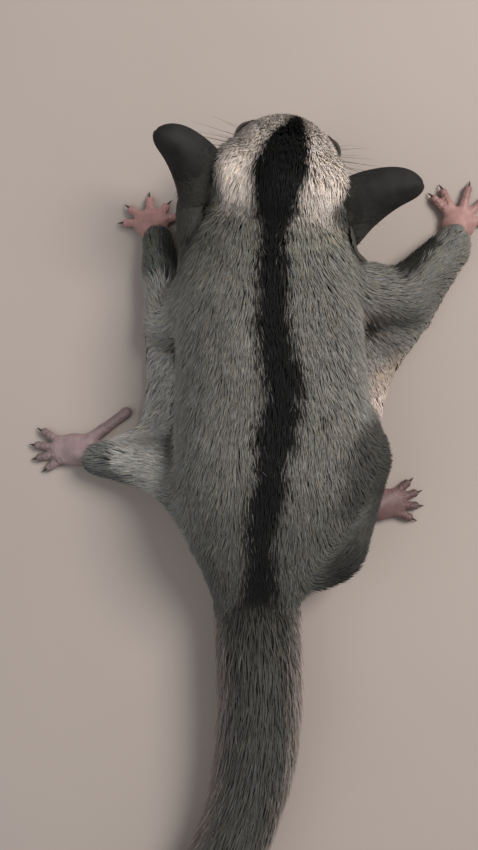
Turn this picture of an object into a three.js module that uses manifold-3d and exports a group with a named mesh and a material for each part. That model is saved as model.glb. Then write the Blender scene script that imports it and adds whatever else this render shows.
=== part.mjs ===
// A sugar glider at life size, sprawled on the floor as seen from above: head bowed so that the
// nose nearly meets the floor, arms reaching forward, the left hind leg out to the side and the
// right one folded, tail trailing behind with a bend to the left.
// Millimetres. +Y is forward (nose), +X the animal's right, +Z up, floor at Z = 0.
// The solids give the outer form of the coat.

import * as THREE from "three";
import { mergeVertices } from "three/addons/utils/BufferGeometryUtils.js";
import Module from "manifold-3d";

const wasm = await Module();
wasm.setup();

// Driving dimensions
const GAP = 0.3; // clear space between touching sub-parts
// Vertices closer than the first of these that fits are one
const MERGE_GRIDS = [0.004, 0.0025, 0.006, 0.0015, 0.009];
const COARSEN_PASSES = 4;
const LEAST_TURN = 0.8; // cosine of the furthest a face may turn when it is redrawn
const SLIMMEST = 0.12; // least area of a face, as a share of its longest edge squared
const TOLERANCE = 0.57; // how far a face may lie off the coat's surface
const HEAD_TOLERANCE = 0.125;
const CUT_TOLERANCE = 0.06; // on a surface that only cuts
const HOLDER_SIDES = 12;
const FLANK_LIP = 1.0; // the gliding membrane starts this far outside the bare flank
const RUMP_FROM = -21; // behind this Y there is no membrane, and the torso keeps all but the legs
const HEAD_CENTRE = [2, 73.2, 22.5];
const HEAD_PITCH = -46; // degrees, nose down
const HEAD_YAW = -12; // degrees, nose to the animal's right
const EYE_RADIUS = 4.7;
const EAR_THICK = 1.0;
const EAR_CUP = 4.2; // how deep the ear is hollowed
const TAIL_RADIUS = 13.2;

// Each ear: the middle of its root, its tip, and the way to its front edge
const EARS = {
  ear_left: { root: [-19.2, 65.6, 29], tip: [-32.4, 77.2, 40.5], front: [9.4, 13.2, 9] },
  ear_right: { root: [18.6, 58.4, 29], tip: [38.4, 63.4, 39.5], front: [-3.4, 17.4, 9] },
};
// Ear edges in front of and behind its middle line: share of the way from root to tip, front, rear
const EAR_EDGES = [
  [0, 8.6, -10.0],
  [0.3, 9.0, -6.2],
  [0.65, 8.2, -3.8],
  [1, 7.2, -4.0],
];
const EAR_ROUND = 5; // the higher, the squarer the ear's tip
const CLAW_LENGTH = 2.3;
const CLAW_RADIUS = 0.55;

// Torso stations along Y: [y, x, height of the centre, half width, half height]
const TORSO = [
  [61, -0.2, 23.0, 18.5, 13.5],
  [53, -1.4, 22.5, 23.5, 16.0],
  [43, -2.0, 21.5, 25.5, 18.6],
  [27, -1.6, 20.0, 27.2, 20.4],
  [9, -1.0, 19.5, 28.2, 21.3],
  [-9, -0.8, 19.3, 28.6, 21.6],
  [-22, -2.2, 18.5, 26.5, 21.0],
  [-34, -3.8, 16.8, 21.5, 18.6],
  [-44, -4.9, 14.4, 16.2, 15.2],
  [-53, -5.3, 12.0, 12.8, 12.4],
];
const TORSO_SQUARENESS = 2.3;

// Limb joints [x, y, z] with the coat's radius there, and how widely the limb melts into the body
const LIMBS = {
  arm_left: {
    joints: [[-17, 39, 19], [-31, 31, 10], [-35.2, 56.5, 5.2]],
    radii: [10.5, 7.2, 5],
    melt: 4,
  },
  arm_right: {
    joints: [[16, 40, 19], [37, 38.2, 10.5], [55, 56.5, 5.4]],
    radii: [10.5, 8.6, 5.2],
    melt: 4,
  },
  leg_left: {
    joints: [[-13, -26, 17], [-31, -13, 11], [-53.5, -10.5, 5.4]],
    radii: [13.5, 9.2, 5.2],
    melt: 6,
  },
  leg_right: {
    joints: [[13.5, -33, 14.6], [24.2, -10, 17], [26, -26.5, 5.4]],
    radii: [15.2, 9.6, 5],
    melt: 10,
  },
};

// Hands and feet: the palm or sole is a flat pad, and digits fan out from its middle.
// A digit has a bearing in degrees from +X and a reach to the end of its fleshy pad. A foot's thumb
// has no claw.
const PAWS = {
  hand_left: {
    limb: "arm_left",
    palm: { centre: [-37.4, 62, 2.4], radii: [5.2, 5.6, 2.7], heading: 105 },
    digits: [[176, 8.6], [143, 8.6], [95, 8.4], [52, 7.8], [18, 7.8]],
  },
  hand_right: {
    limb: "arm_right",
    palm: { centre: [57.4, 62, 2.4], radii: [5.6, 5.8, 2.7], heading: 60 },
    digits: [[132, 11.5], [114, 11.8], [74, 12.2], [44, 11.8], [10, 10]],
  },
  foot_left: {
    limb: "leg_left",
    palm: { centre: [-60.5, -7.6, 2.6], radii: [8.0, 5.6, 2.8], heading: 176 },
    digits: [[152, 12.2], [174, 13.0], [192, 12.6], [212, 11.0]],
    thumb: [37, 19.6],
  },
  foot_right: {
    limb: "leg_right",
    palm: { centre: [33.3, -24.6, 2.6], radii: [8.0, 5.4, 2.8], heading: 14 },
    digits: [[38, 11.2], [18, 11.8], [-2, 11.6], [-24, 10.6]],
    thumb: [112, 8.5],
  },
};
const DIGIT_RADIUS = 1.35;
const THUMB_RADIUS = 1.9;
const WRIST_RADIUS = 3.7;
const WRIST_ROOT = 3; // how far the palm's neck reaches up into the wrist's cut

// The gliding membrane: sheets given by corners [x, y, z], with the half thickness of skin and coat
const MEMBRANE_HALF = 1.7;
const MEMBRANE = {
  patagium_left: [
    [[-36.5, 48, 4.2], [-31.5, 32, 7], [-37.6, 30, 4.2]],
    [[-37.6, 30, 4.2], [-27, 22, 9], [-37, 10, 4.2]],
    [[-27, 22, 9], [-37, 10, 4.2], [-27, -4, 10]],
    [[-37, 10, 4.2], [-27, -4, 10], [-33, -10, 7.5]],
    [[-37, 10, 4.2], [-33, -10, 7.5], [-39.2, -0.5, 4.2]],
    [[-39.2, -0.5, 4.2], [-33, -10, 7.5], [-50, -8.5, 4.2]],
  ],
  patagium_right: [
    [[57, 51.5, 4.2], [36, 38, 8.5], [46, 31.5, 5]],
    [[36, 38, 8.5], [46, 31.5, 5], [26, 26, 11]],
    [[46, 31.5, 5], [26, 26, 11], [34.5, 15, 6.5]],
    [[26, 26, 11], [34.5, 15, 6.5], [26.5, 4, 10]],
    [[34.5, 15, 6.5], [26.5, 4, 10], [28.5, -5, 9.5]],
  ],
};

// Tail centre line [x, y] and coat radius as a share of TAIL_RADIUS, root to tip
const TAIL = [
  [-5.2, -47, 0.96],
  [-4.8, -64, 1.0],
  [-4.3, -82, 0.98],
  [-5.6, -99, 0.94],
  [-9.0, -115, 0.88],
  [-15.0, -130, 0.83],
  [-24.0, -144, 0.79],
  [-35.5, -156, 0.74],
  [-49.0, -166, 0.66],
  [-63.0, -173, 0.52],
  [-74.0, -177, 0.3],
];
const TAIL_SINK = 0.8; // the coat's lowest hairs are pressed flat on the floor by this much
const TAIL_CUTS = [-55, -101, -147]; // the Y of each cut across the tail, root cut first
const TAIL_CORE = 0.5; // the core's radius as a share of the coat's
const COLLAR_FROM = 0.06; // shares of the tail's length where the short coat of the root begins to
const COLLAR_TO = 0.17; // thin down, and where it has come down to the core
const LOCK_ROWS = 11;
const LOCKS_ROUND = 6; // one fewer on the last third of the tail
const LOCKS_FROM = 0.055; // shares of the tail's length where the first and last rows are rooted
const LOCKS_TO = 0.9;
const LOCK_LENGTH = 28;
const LOCK_THICK = 1.9;
const LOCK_RISE = 0.6; // the lower, the sooner a lock leaves the core
const LOCK_SPREAD = 0.94; // a lock's width as a share of its place in the row
const LOCK_ROOM = 1; // roots keep this far from a cut

const vec = (p) => new THREE.Vector3(...p);
const clamp = THREE.MathUtils.clamp;
const lerp = THREE.MathUtils.lerp;
const radians = THREE.MathUtils.degToRad;

// A repeatable stream of random numbers between 0 and 1.
function seeded(seed) {
  let state = seed;
  return () => {
    state = (state * 1664525 + 1013904223) % 4294967296;
    return state / 4294967296;
  };
}

// Signed distances

// Blend two distances over the reach k.
function blend(a, b, k) {
  const h = Math.max(k - Math.abs(a - b), 0);
  return Math.min(a, b) - (h * h) / (4 * k);
}

// A rod from a to b whose radius runs from ra to rb.
function rod(p, a, b, ra, rb) {
  const ab = [b[0] - a[0], b[1] - a[1], b[2] - a[2]];
  const ap = [p[0] - a[0], p[1] - a[1], p[2] - a[2]];
  const share = (ap[0] * ab[0] + ap[1] * ab[1] + ap[2] * ab[2]) / (ab[0] ** 2 + ab[1] ** 2 + ab[2] ** 2);
  const h = clamp(share, 0, 1);
  return Math.hypot(ap[0] - ab[0] * h, ap[1] - ab[1] * h, ap[2] - ab[2] * h) - lerp(ra, rb, h);
}

function ellipsoid(p, c, r) {
  const q = [(p[0] - c[0]) / r[0], (p[1] - c[1]) / r[1], (p[2] - c[2]) / r[2]];
  const k0 = Math.hypot(...q);
  const k1 = Math.hypot(q[0] / r[0], q[1] / r[1], q[2] / r[2]);
  return k1 > 0 ? (k0 * (k0 - 1)) / k1 : -Math.min(...r);
}

// A flat triangle grown by its half thickness.
function sheet(p, [a, b, c], half) {
  const P = vec(p);
  const nearest = new THREE.Triangle(vec(a), vec(b), vec(c)).closestPointToPoint(P, new THREE.Vector3());
  return P.distanceTo(nearest) - half;
}

// A smooth curve through the rows of a table, by its first column.
function along(table, y, column) {
  const rising = table[0][0] < table[table.length - 1][0];
  let i = 0;
  while (i < table.length - 2 && (rising ? y > table[i + 1][0] : y < table[i + 1][0])) i += 1;
  const slope = (j) => {
    const before = table[Math.max(j - 1, 0)];
    const after = table[Math.min(j + 1, table.length - 1)];
    return (after[column] - before[column]) / (after[0] - before[0]);
  };
  const [r0, r1] = [table[i], table[i + 1]];
  const span = r1[0] - r0[0];
  const t = clamp((y - r0[0]) / span, 0, 1);
  const [t2, t3] = [t * t, t * t * t];
  return (
    (2 * t3 - 3 * t2 + 1) * r0[column] +
    (t3 - 2 * t2 + t) * span * slope(i) +
    (3 * t2 - 2 * t3) * r1[column] +
    (t3 - t2) * span * slope(i + 1)
  );
}

function torso(p) {
  const [front, back] = [TORSO[0], TORSO[TORSO.length - 1]];
  const y = clamp(p[1], back[0], front[0]);
  const half = [along(TORSO, y, 3), along(TORSO, y, 4)];
  const dx = p[0] - along(TORSO, y, 1);
  const dz = p[2] - along(TORSO, y, 2);
  const dy = p[1] - y;
  const n = TORSO_SQUARENESS;
  const powers = [dx / half[0], dz / half[1], dy / half[1]].map((v) => Math.abs(v) ** n);
  const share = (powers[0] + powers[1] + powers[2]) ** (1 / n);
  const reach = Math.hypot(dx, dy, dz);
  return share > 1e-6 ? reach - reach / share : -half[1];
}

// Head, in its own frame: Y to the nose, Z to the crown
const headFrame = new THREE.Matrix4()
  .makeTranslation(...HEAD_CENTRE)
  .multiply(new THREE.Matrix4().makeRotationZ(radians(HEAD_YAW)))
  .multiply(new THREE.Matrix4().makeRotationX(radians(HEAD_PITCH)));
const headInverse = headFrame.clone().invert();
const inHead = (p) => vec(p).applyMatrix4(headInverse).toArray();
const fromHead = (p) => vec(p).applyMatrix4(headFrame).toArray();

const EYE = [11.0, 7.6, 3.2];
const MUZZLE_TIP = [0, 18.6, -3.6];
const NOSE = [0, 21.9, -2.2];
const NOSE_RADII = [2.6, 1.8, 2.0];
const NOSTRIL = { from: [1.0, 23.9, -2.4], to: [2.2, 22.6, -1.9], radius: 0.42 };
const LID_RADIUS = 4.1; // of the ring that the lids make round the eye
const LID_THICK = 0.7;
const EYE_LOOKS = [0.8, 0.46, 0.38]; // the way the eye faces
// The line of the mouth, from the middle of the muzzle back along one side, before it is laid on the skin
const MOUTH = [[0, 20.5, -6.6], [2.6, 18.4, -6.9], [4.6, 14.2, -7.2], [6.6, 9.6, -7.6]];
const LIP_RADIUS = 0.75;
const MOUTH_GROOVE = 0.34;

function headShape(q) {
  const m = [Math.abs(q[0]), q[1], q[2]];
  let d = ellipsoid(q, [0, -4, 0.8], [17.0, 17.5, 14.2]);
  d = blend(d, rod(q, [0, 4, -0.6], [0, 12, -2.6], 12.6, 8.2), 5);
  d = blend(d, rod(q, [0, 10, -2.6], MUZZLE_TIP, 7.8, 4.1), 4);
  d = blend(d, ellipsoid(m, [10.2, -0.5, -4.5], [7.0, 10.5, 7.6]), 4); // cheek
  d = blend(d, ellipsoid(m, [12.8, -10.5, 1.0], [7.2, 8.5, 8.5]), 5); // root of the ear
  d = blend(d, ellipsoid(m, [9.4, 6.4, 2.6], [5.6, 6.2, 5.6]), 2.5); // flesh round the eye
  d = blend(d, ellipsoid(m, [3.1, 16.4, -4.1], [3.6, 5.0, 3.4]), 1.8); // whisker pad
  d = blend(d, rod(q, [0, 4, -9.0], [0, 15.6, -7.6], 5.6, 2.8), 2.2); // lower jaw
  return d;
}

const throat = (p) => rod(p, fromHead([0, -6, -6]), [-1, 40, 14], 12, 15);
// The ruff below the left ear, where the neck is turned and its fur bunches
const ruff = (p) => rod(p, [-22.3, 66, 21.5], [-20.8, 46, 17], 6.4, 7);

function limb(p, { joints, radii }) {
  const [a, b, c] = joints;
  return blend(rod(p, a, b, radii[0], radii[1]), rod(p, b, c, radii[1] * 0.92, radii[2]), 3);
}

function body(p) {
  let d = blend(torso(p), headShape(inHead(p)), 9);
  d = blend(d, throat(p), 5);
  d = blend(d, ruff(p), 4);
  for (const one of Object.values(LIMBS)) d = blend(d, limb(p, one), one.melt);
  for (const sheets of Object.values(MEMBRANE)) {
    let flat = 1e3;
    for (const corners of sheets) flat = blend(flat, sheet(p, corners, MEMBRANE_HALF), 1.2);
    d = blend(d, flat, 2.5);
  }
  return d;
}

// The solid where a distance is below zero, inside a box, with faces about `cell` wide.
// Each grid cell that the surface crosses gets one vertex, drawn on to the surface.
function polygonise(field, low, high, cell) {
  const origin = low.map((v) => v - 1.5 * cell);
  const count = high.map((v, i) => Math.ceil((v + 1.5 * cell - origin[i]) / cell) + 1);
  const at = (i, j, k) => i + count[0] * (j + count[1] * k);
  const corner = (i, j, k) => [origin[0] + i * cell, origin[1] + j * cell, origin[2] + k * cell];
  const value = new Float64Array(count[0] * count[1] * count[2]);
  for (let k = 0; k < count[2]; k += 1)
    for (let j = 0; j < count[1]; j += 1)
      for (let i = 0; i < count[0]; i += 1) value[at(i, j, k)] = field(corner(i, j, k)) || 1e-9;

  const steps = [[1, 0, 0], [0, 1, 0], [0, 0, 1]];
  const vertexOf = new Map();
  const positions = [];
  const draw = (p, home) => {
    let q = p;
    for (let turn = 0; turn < 3; turn += 1) {
      const e = 0.02 * cell;
      const d = field(q);
      const beside = (s, way) => field(q.map((v, a) => v + way * e * s[a]));
      const slope = steps.map((s) => (beside(s, 1) - beside(s, -1)) / (2 * e));
      const size = slope.reduce((sum, g) => sum + g * g, 0);
      if (size < 1e-4) break;
      q = q.map((v, a) => clamp(v - (d * slope[a]) / size, home[a] + 0.04 * cell, home[a] + 0.96 * cell));
    }
    return q;
  };
  for (let k = 0; k < count[2] - 1; k += 1)
    for (let j = 0; j < count[1] - 1; j += 1)
      for (let i = 0; i < count[0] - 1; i += 1) {
        const home = corner(i, j, k);
        const sum = [0, 0, 0];
        let crossings = 0;
        for (let axis = 0; axis < 3; axis += 1)
          for (let u = 0; u < 2; u += 1)
            for (let v = 0; v < 2; v += 1) {
              const o = [0, 0, 0];
              o[(axis + 1) % 3] = u;
              o[(axis + 2) % 3] = v;
              const s = steps[axis];
              const a = value[at(i + o[0], j + o[1], k + o[2])];
              const b = value[at(i + o[0] + s[0], j + o[1] + s[1], k + o[2] + s[2])];
              if (a < 0 === b < 0) continue;
              const t = a / (a - b);
              for (let c = 0; c < 3; c += 1) sum[c] += home[c] + cell * (o[c] + t * s[c]);
              crossings += 1;
            }
        if (!crossings) continue;
        vertexOf.set(at(i, j, k), positions.length / 3);
        positions.push(...draw(sum.map((v) => v / crossings), home));
      }

  const triangles = [];
  const far = (a, b) => Math.hypot(...[0, 1, 2].map((c) => positions[3 * a + c] - positions[3 * b + c]));
  for (let k = 1; k < count[2] - 1; k += 1)
    for (let j = 1; j < count[1] - 1; j += 1)
      for (let i = 1; i < count[0] - 1; i += 1)
        for (let axis = 0; axis < 3; axis += 1) {
          const s = steps[axis];
          const a = value[at(i, j, k)];
          const b = value[at(i + s[0], j + s[1], k + s[2])];
          if (a < 0 === b < 0) continue;
          const u = steps[(axis + 1) % 3];
          const v = steps[(axis + 2) % 3];
          const ring = [[0, 0], [1, 0], [1, 1], [0, 1]].map(([m, n]) =>
            vertexOf.get(at(i - m * u[0] - n * v[0], j - m * u[1] - n * v[1], k - m * u[2] - n * v[2])),
          );
          if (a > 0) ring.reverse();
          const [p0, p1, p2, p3] = ring;
          if (far(p0, p2) < far(p1, p3)) triangles.push(p0, p1, p2, p0, p2, p3);
          else triangles.push(p1, p2, p3, p1, p3, p0);
        }
  return { positions, triangles };
}

// Solids

function solidOf(geometry) {
  const bare = geometry.index ? geometry.toNonIndexed() : geometry.clone();
  for (const name of Object.keys(bare.attributes)) if (name !== "position") bare.deleteAttribute(name);
  const merged = mergeVertices(bare, 1e-4);
  return new wasm.Manifold(
    new wasm.Mesh({
      numProp: 3,
      vertProperties: new Float32Array(merged.attributes.position.array),
      triVerts: new Uint32Array(merged.index.array),
    }),
  );
}

// Draw vertices into their neighbours wherever the new faces stay within the tolerance of the surface,
// so that flat stretches keep few faces and bent ones keep theirs.
function coarsen({ positions, triangles }, distance, tolerance, longest) {
  const point = (i) => new THREE.Vector3().fromArray(positions, 3 * i);
  const faces = new Map();
  const around = Array.from({ length: positions.length / 3 }, () => new Set());
  for (let i = 0; i < triangles.length; i += 3) {
    const face = triangles.slice(i, i + 3);
    faces.set(i, face);
    for (const corner of face) around[corner].add(i);
  }
  const neighbours = (a) => new Set([...around[a]].flatMap((f) => faces.get(f)).filter((v) => v !== a));
  const plane = new THREE.Triangle();
  const off = (p) => Math.abs(distance(p.toArray()));
  const fits = (a, b) => {
    const shared = [...neighbours(a)].filter((v) => neighbours(b).has(v));
    if (shared.length !== 2) return false;
    for (const f of around[a]) {
      const face = faces.get(f);
      if (face.includes(b)) continue;
      const before = plane.set(...face.map(point)).getNormal(new THREE.Vector3());
      const corners = face.map((v) => point(v === a ? b : v));
      plane.set(...corners);
      const after = plane.getNormal(new THREE.Vector3());
      const edge = Math.max(...corners.map((p, n) => p.distanceTo(corners[(n + 1) % 3])));
      if (before.dot(after) < LEAST_TURN || edge > longest) return false;
      if (plane.getArea() < SLIMMEST * edge * edge) return false;
      if (off(plane.getMidpoint(new THREE.Vector3())) > tolerance) return false;
      if (corners.some((p, n) => off(p.clone().lerp(corners[(n + 1) % 3], 0.5)) > tolerance)) return false;
    }
    return true;
  };
  const collapse = (a, b) => {
    for (const f of [...around[a]]) {
      const face = faces.get(f);
      if (face.includes(b)) {
        for (const v of face) around[v].delete(f);
        faces.delete(f);
      } else {
        faces.set(f, face.map((v) => (v === a ? b : v)));
        around[b].add(f);
      }
    }
    around[a].clear();
  };
  for (let pass = 0; pass < COARSEN_PASSES; pass += 1)
    for (let a = 0; a < around.length; a += 1) {
      if (around[a].size === 0) continue;
      const here = point(a);
      const near = [...neighbours(a)].sort((m, n) => here.distanceTo(point(m)) - here.distanceTo(point(n)));
      const target = near.slice(0, 3).find((b) => fits(a, b));
      if (target !== undefined) collapse(a, target);
    }
  return { positions, triangles: [...faces.values()].flat() };
}

// Whether two sheets of the surface share an edge.
function pinched(triangles) {
  const seen = new Set();
  for (let i = 0; i < triangles.length; i += 3)
    for (let n = 0; n < 3; n += 1) {
      const edge = `${triangles[i + n]} ${triangles[i + ((n + 1) % 3)]}`;
      if (seen.has(edge)) return true;
      seen.add(edge);
    }
  return false;
}

// The coat's solid inside a box. A cell size that leaves two sheets touching at an edge is eased a little.
function mass(distance, low, high, cell, tolerance = TOLERANCE) {
  const field = (p) => Math.max(distance(p), ...p.map((v, a) => Math.max(low[a] - v, v - high[a])));
  for (let ease = 1; ease > 0.8; ease -= 0.02) {
    const fine = polygonise(field, low, high, cell * ease);
    if (pinched(fine.triangles)) continue;
    const { positions, triangles } = coarsen(fine, field, tolerance, 4 * cell);
    const kept = new THREE.BufferGeometry();
    kept.setAttribute("position", new THREE.Float32BufferAttribute(positions, 3));
    kept.setIndex(triangles);
    return solidOf(kept);
  }
  throw new Error("two sheets touch at every cell size");
}

// A closed tube: rings of `sides` vertices round a smooth path, each [x, y, z, radius] or with a
// second radius for the height.
function tube(stations, sides, up = [0, 0, 1]) {
  const points = stations.map((s) => vec(s));
  const positions = [];
  points.forEach((point, i) => {
    const [before, after] = [points[Math.max(i - 1, 0)], points[Math.min(i + 1, points.length - 1)]];
    const ahead = after.clone().sub(before).normalize();
    const side = ahead.clone().cross(vec(up)).normalize();
    const rise = side.clone().cross(ahead);
    const [wide, high] = [stations[i][3], stations[i][4] ?? stations[i][3]];
    for (let n = 0; n < sides; n += 1) {
      const a = (2 * Math.PI * n) / sides;
      const v = point.clone().addScaledVector(side, wide * Math.cos(a));
      positions.push(...v.addScaledVector(rise, high * Math.sin(a)).toArray());
    }
  });
  const last = points.length - 1;
  const index = [];
  for (let i = 0; i < last; i += 1)
    for (let n = 0; n < sides; n += 1) {
      const m = (n + 1) % sides;
      const [a, b, c, d] = [i * sides + n, i * sides + m, (i + 1) * sides + n, (i + 1) * sides + m];
      index.push(a, b, c, b, d, c);
    }
  const start = positions.length / 3;
  positions.push(...points[0].toArray(), ...points[last].toArray());
  for (let n = 0; n < sides; n += 1) {
    const m = (n + 1) % sides;
    index.push(start, m, n, start + 1, last * sides + n, last * sides + m);
  }
  const geometry = new THREE.BufferGeometry();
  geometry.setAttribute("position", new THREE.Float32BufferAttribute(positions, 3));
  geometry.setIndex(index);
  return outward(solidOf(geometry), geometry);
}

function outward(solid, geometry) {
  if (solid.volume() > 0) return solid;
  const flipped = geometry.clone();
  const index = Array.from(flipped.index.array);
  for (let i = 0; i < index.length; i += 3) [index[i + 1], index[i + 2]] = [index[i + 2], index[i + 1]];
  flipped.setIndex(index);
  return solidOf(flipped);
}

// A ball squashed to three radii, placed by a matrix.
function ball(centre, radii, across, down, matrix = new THREE.Matrix4()) {
  const geometry = new THREE.SphereGeometry(1, across, down);
  geometry.scale(...radii);
  geometry.translate(...centre);
  geometry.applyMatrix4(matrix);
  return solidOf(geometry);
}

// A rod with round ends that holds a limb: the space its nodes are cut out by.
function holder(a, b, ra, rb) {
  const [A, B] = [vec(a), vec(b)];
  const length = A.distanceTo(B);
  const profile = [];
  const turns = 3;
  const tilt = Math.asin(clamp((ra - rb) / length, -1, 1));
  for (let i = 0; i <= turns; i += 1) {
    const t = lerp(-Math.PI / 2, tilt, i / turns);
    profile.push(new THREE.Vector2(i ? ra * Math.cos(t) : 0, ra * Math.sin(t)));
  }
  for (let i = 0; i <= turns; i += 1) {
    const t = lerp(tilt, Math.PI / 2, i / turns);
    profile.push(new THREE.Vector2(i < turns ? rb * Math.cos(t) : 0, length + rb * Math.sin(t)));
  }
  const geometry = new THREE.LatheGeometry(profile, HOLDER_SIDES);
  const way = B.clone().sub(A).normalize();
  geometry.applyQuaternion(new THREE.Quaternion().setFromUnitVectors(vec([0, 1, 0]), way));
  geometry.translate(...a);
  return solidOf(geometry);
}

const bigger = (a, b) => (b.volume() > a.volume() ? b : a);
const largest = (solid) => solid.decompose().reduce(bigger);
const unite = (solids) => solids.reduce((sum, one) => sum.add(one));
const aboveFloor = (solid) => solid.trimByPlane([0, 0, 1], 0);
// Keep what lies on the side of a plane that its normal points to.
const keep = (solid, normal, through, back = 0) => {
  const n = vec(normal).normalize();
  return solid.trimByPlane(n.toArray(), n.dot(vec(through)) + back);
};

// Draw vertices closer than a few microns together and drop the faces that this flattens.
function settle(solid) {
  for (const grid of MERGE_GRIDS) {
    const { vertProperties, triVerts } = snapped(solid.getMesh(), grid);
    if (pinched(triVerts)) continue;
    return new wasm.Manifold(new wasm.Mesh({ numProp: 3, vertProperties, triVerts }));
  }
  throw new Error("two sheets of a solid share an edge");
}

function snapped({ vertProperties, triVerts, numProp }, grid) {
  const seen = new Map();
  const positions = [];
  const index = [];
  for (let i = 0; i < vertProperties.length; i += numProp) {
    const steps = [0, 1, 2].map((a) => Math.round(vertProperties[i + a] / grid));
    const key = steps.join();
    if (!seen.has(key)) {
      seen.set(key, positions.length / 3);
      positions.push(...steps.map((v) => v * grid));
    }
    index.push(seen.get(key));
  }
  const faces = new Map();
  for (let i = 0; i < triVerts.length; i += 3) {
    const [a, b, c] = [0, 1, 2].map((n) => index[triVerts[i + n]]);
    if (a === b || b === c || a === c) continue;
    const key = [a, b, c].sort((m, n) => m - n).join();
    if (faces.has(key)) faces.delete(key);
    else faces.set(key, [a, b, c]);
  }
  const triangles = [...faces.values()].flat();
  return { vertProperties: new Float32Array(positions), triVerts: new Uint32Array(triangles) };
}

const parts = new Map();
const materials = {
  fur: new THREE.MeshStandardMaterial({ color: 0x6f6d68, roughness: 0.9, metalness: 0 }),
  skin: new THREE.MeshStandardMaterial({ color: 0xb98a86, roughness: 0.6, metalness: 0 }),
  ear: new THREE.MeshStandardMaterial({ color: 0x3c3a38, roughness: 0.7, metalness: 0 }),
  eye: new THREE.MeshStandardMaterial({ color: 0x0b0a0a, roughness: 0.05, metalness: 0 }),
};

function add(name, solid, material) {
  const clean = largest(settle(largest(aboveFloor(solid))));
  parts.set(name, { solid: clean, material: materials[material] });
}

// An ear: a shell hollowed to the front, with its outline from the table
function ear({ root, tip, front }) {
  const axis = vec(tip).sub(vec(root));
  const length = axis.length();
  axis.normalize();
  const ahead = vec(front).addScaledVector(axis, -axis.dot(vec(front))).normalize();
  const back = axis.clone().cross(ahead);
  if (back.z < 0) back.negate();
  const grid = (thick, more) => {
    const [rows, columns] = [9, 6];
    const faces = [[], []];
    for (let i = 0; i <= rows; i += 1) {
      const u = 1 - (1 - i / rows) ** 2; // rows lie closer towards the round tip
      const s = lerp(-0.12 - more / length, 0.995, u);
      const taper = Math.sqrt(1 - clamp(s, 0, 1) ** EAR_ROUND);
      const [f, r] = [1, 2].map((column) => taper * along(EAR_EDGES, clamp(s, 0, 1), column));
      for (let j = 0; j <= columns; j += 1) {
        const across = lerp(r - more, f + more, j / columns);
        const roll = Math.min((2 * ((across - r) / (f - r + 0.01)) - 1) ** 2, 1.2);
        const cup = EAR_CUP * taper * (1 - roll);
        const middle = vec(root).addScaledVector(axis, s * length).addScaledVector(ahead, across);
        middle.addScaledVector(back, cup - EAR_CUP / 2);
        for (const side of [0, 1]) {
          const lift = (side ? 1 : -1) * (thick / 2 - EAR_THICK * 0.25 * roll);
          faces[side].push(middle.clone().addScaledVector(back, lift));
        }
      }
    }
    return sheetSolid(faces, rows, columns);
  };
  return { shell: grid(EAR_THICK, 0), space: grid(EAR_THICK + 2 * GAP, GAP) };
}

// A closed solid between two grids of points
function sheetSolid([under, over], rows, columns) {
  const positions = [...under, ...over].flatMap((p) => p.toArray());
  const wide = columns + 1;
  const top = under.length;
  const index = [];
  const quad = (a, b, c, d) => index.push(a, b, c, a, c, d);
  for (let i = 0; i < rows; i += 1)
    for (let j = 0; j < columns; j += 1) {
      const [a, b, c, d] = [i * wide + j, i * wide + j + 1, (i + 1) * wide + j + 1, (i + 1) * wide + j];
      quad(a, b, c, d);
      index.push(top + a, top + c, top + b, top + a, top + d, top + c);
    }
  for (let j = 0; j < columns; j += 1) {
    quad(j + 1, j, top + j, top + j + 1);
    const e = rows * wide + j;
    quad(e, e + 1, top + e + 1, top + e);
  }
  for (let i = 0; i < rows; i += 1) {
    const a = i * wide;
    quad(a, a + wide, top + a + wide, top + a);
    const b = a + columns;
    quad(b + wide, b, top + b, top + b + wide);
  }
  const geometry = new THREE.BufferGeometry();
  geometry.setAttribute("position", new THREE.Float32BufferAttribute(positions, 3));
  geometry.setIndex(index);
  return outward(solidOf(geometry), geometry);
}

const ears = Object.entries(EARS).map(([name, spec]) => ({ name, ...ear(spec) }));
const earSpaces = unite(ears.map(({ space }) => space));
for (const { name, shell } of ears) add(name, shell, "ear");

// Cuts that divide the body
const HEAD_CUT = { through: [0.5, 57, 24], normal: [0.02, 0.97, 0.24] };
const NECK_CUT = { through: [-1.2, 45, 22], normal: [0, 1, 0] };
const BELOW_FLOOR = -3; // solids are made from here up, then cut off at the floor
const HOLD = 1.7; // how far a limb's cutting space stands outside its coat
const HOLD_START = 0.3; // the share of the upper limb that stays in the torso

function limbSpace({ joints, radii }, grow) {
  const [a, b, c] = joints;
  const more = HOLD + grow;
  const root = a.map((v, i) => lerp(v, b[i], HOLD_START));
  const upper = holder(root, b, radii[0] * 0.86 + more, radii[1] + more);
  return upper.add(holder(b, c, radii[1] + more, radii[2] + more));
}

const limbSpaces = unite(Object.values(LIMBS).map((one) => limbSpace(one, GAP)));

// Torso and neck
{
  const flank = (p) => torso(p) - (FLANK_LIP - GAP) - Math.max(RUMP_FROM - p[1], 0);
  const insideFlank = (p) => Math.max(body(p), flank(p));
  const trunk = mass(insideFlank, [-34, -60, BELOW_FLOOR], [34, 60, 44], 3.8);
  const torsoSolid = keep(trunk, [0, -1, 0], NECK_CUT.through, GAP / 2).subtract(limbSpaces);
  add("torso", keep(torsoSolid, [0, 1, 0], [0, TAIL_CUTS[0], 0], GAP / 2), "fur");
  const nape = mass(body, [-30, 38, BELOW_FLOOR], [30, 74, 44], 2.8);
  const behindHead = vec(HEAD_CUT.normal).negate().toArray();
  const ring = keep(nape, [0, 1, 0], NECK_CUT.through, GAP / 2);
  const neck = keep(ring, behindHead, HEAD_CUT.through, GAP / 2);
  add("neck", neck.subtract(limbSpaces).subtract(earSpaces), "fur");
}

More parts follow.
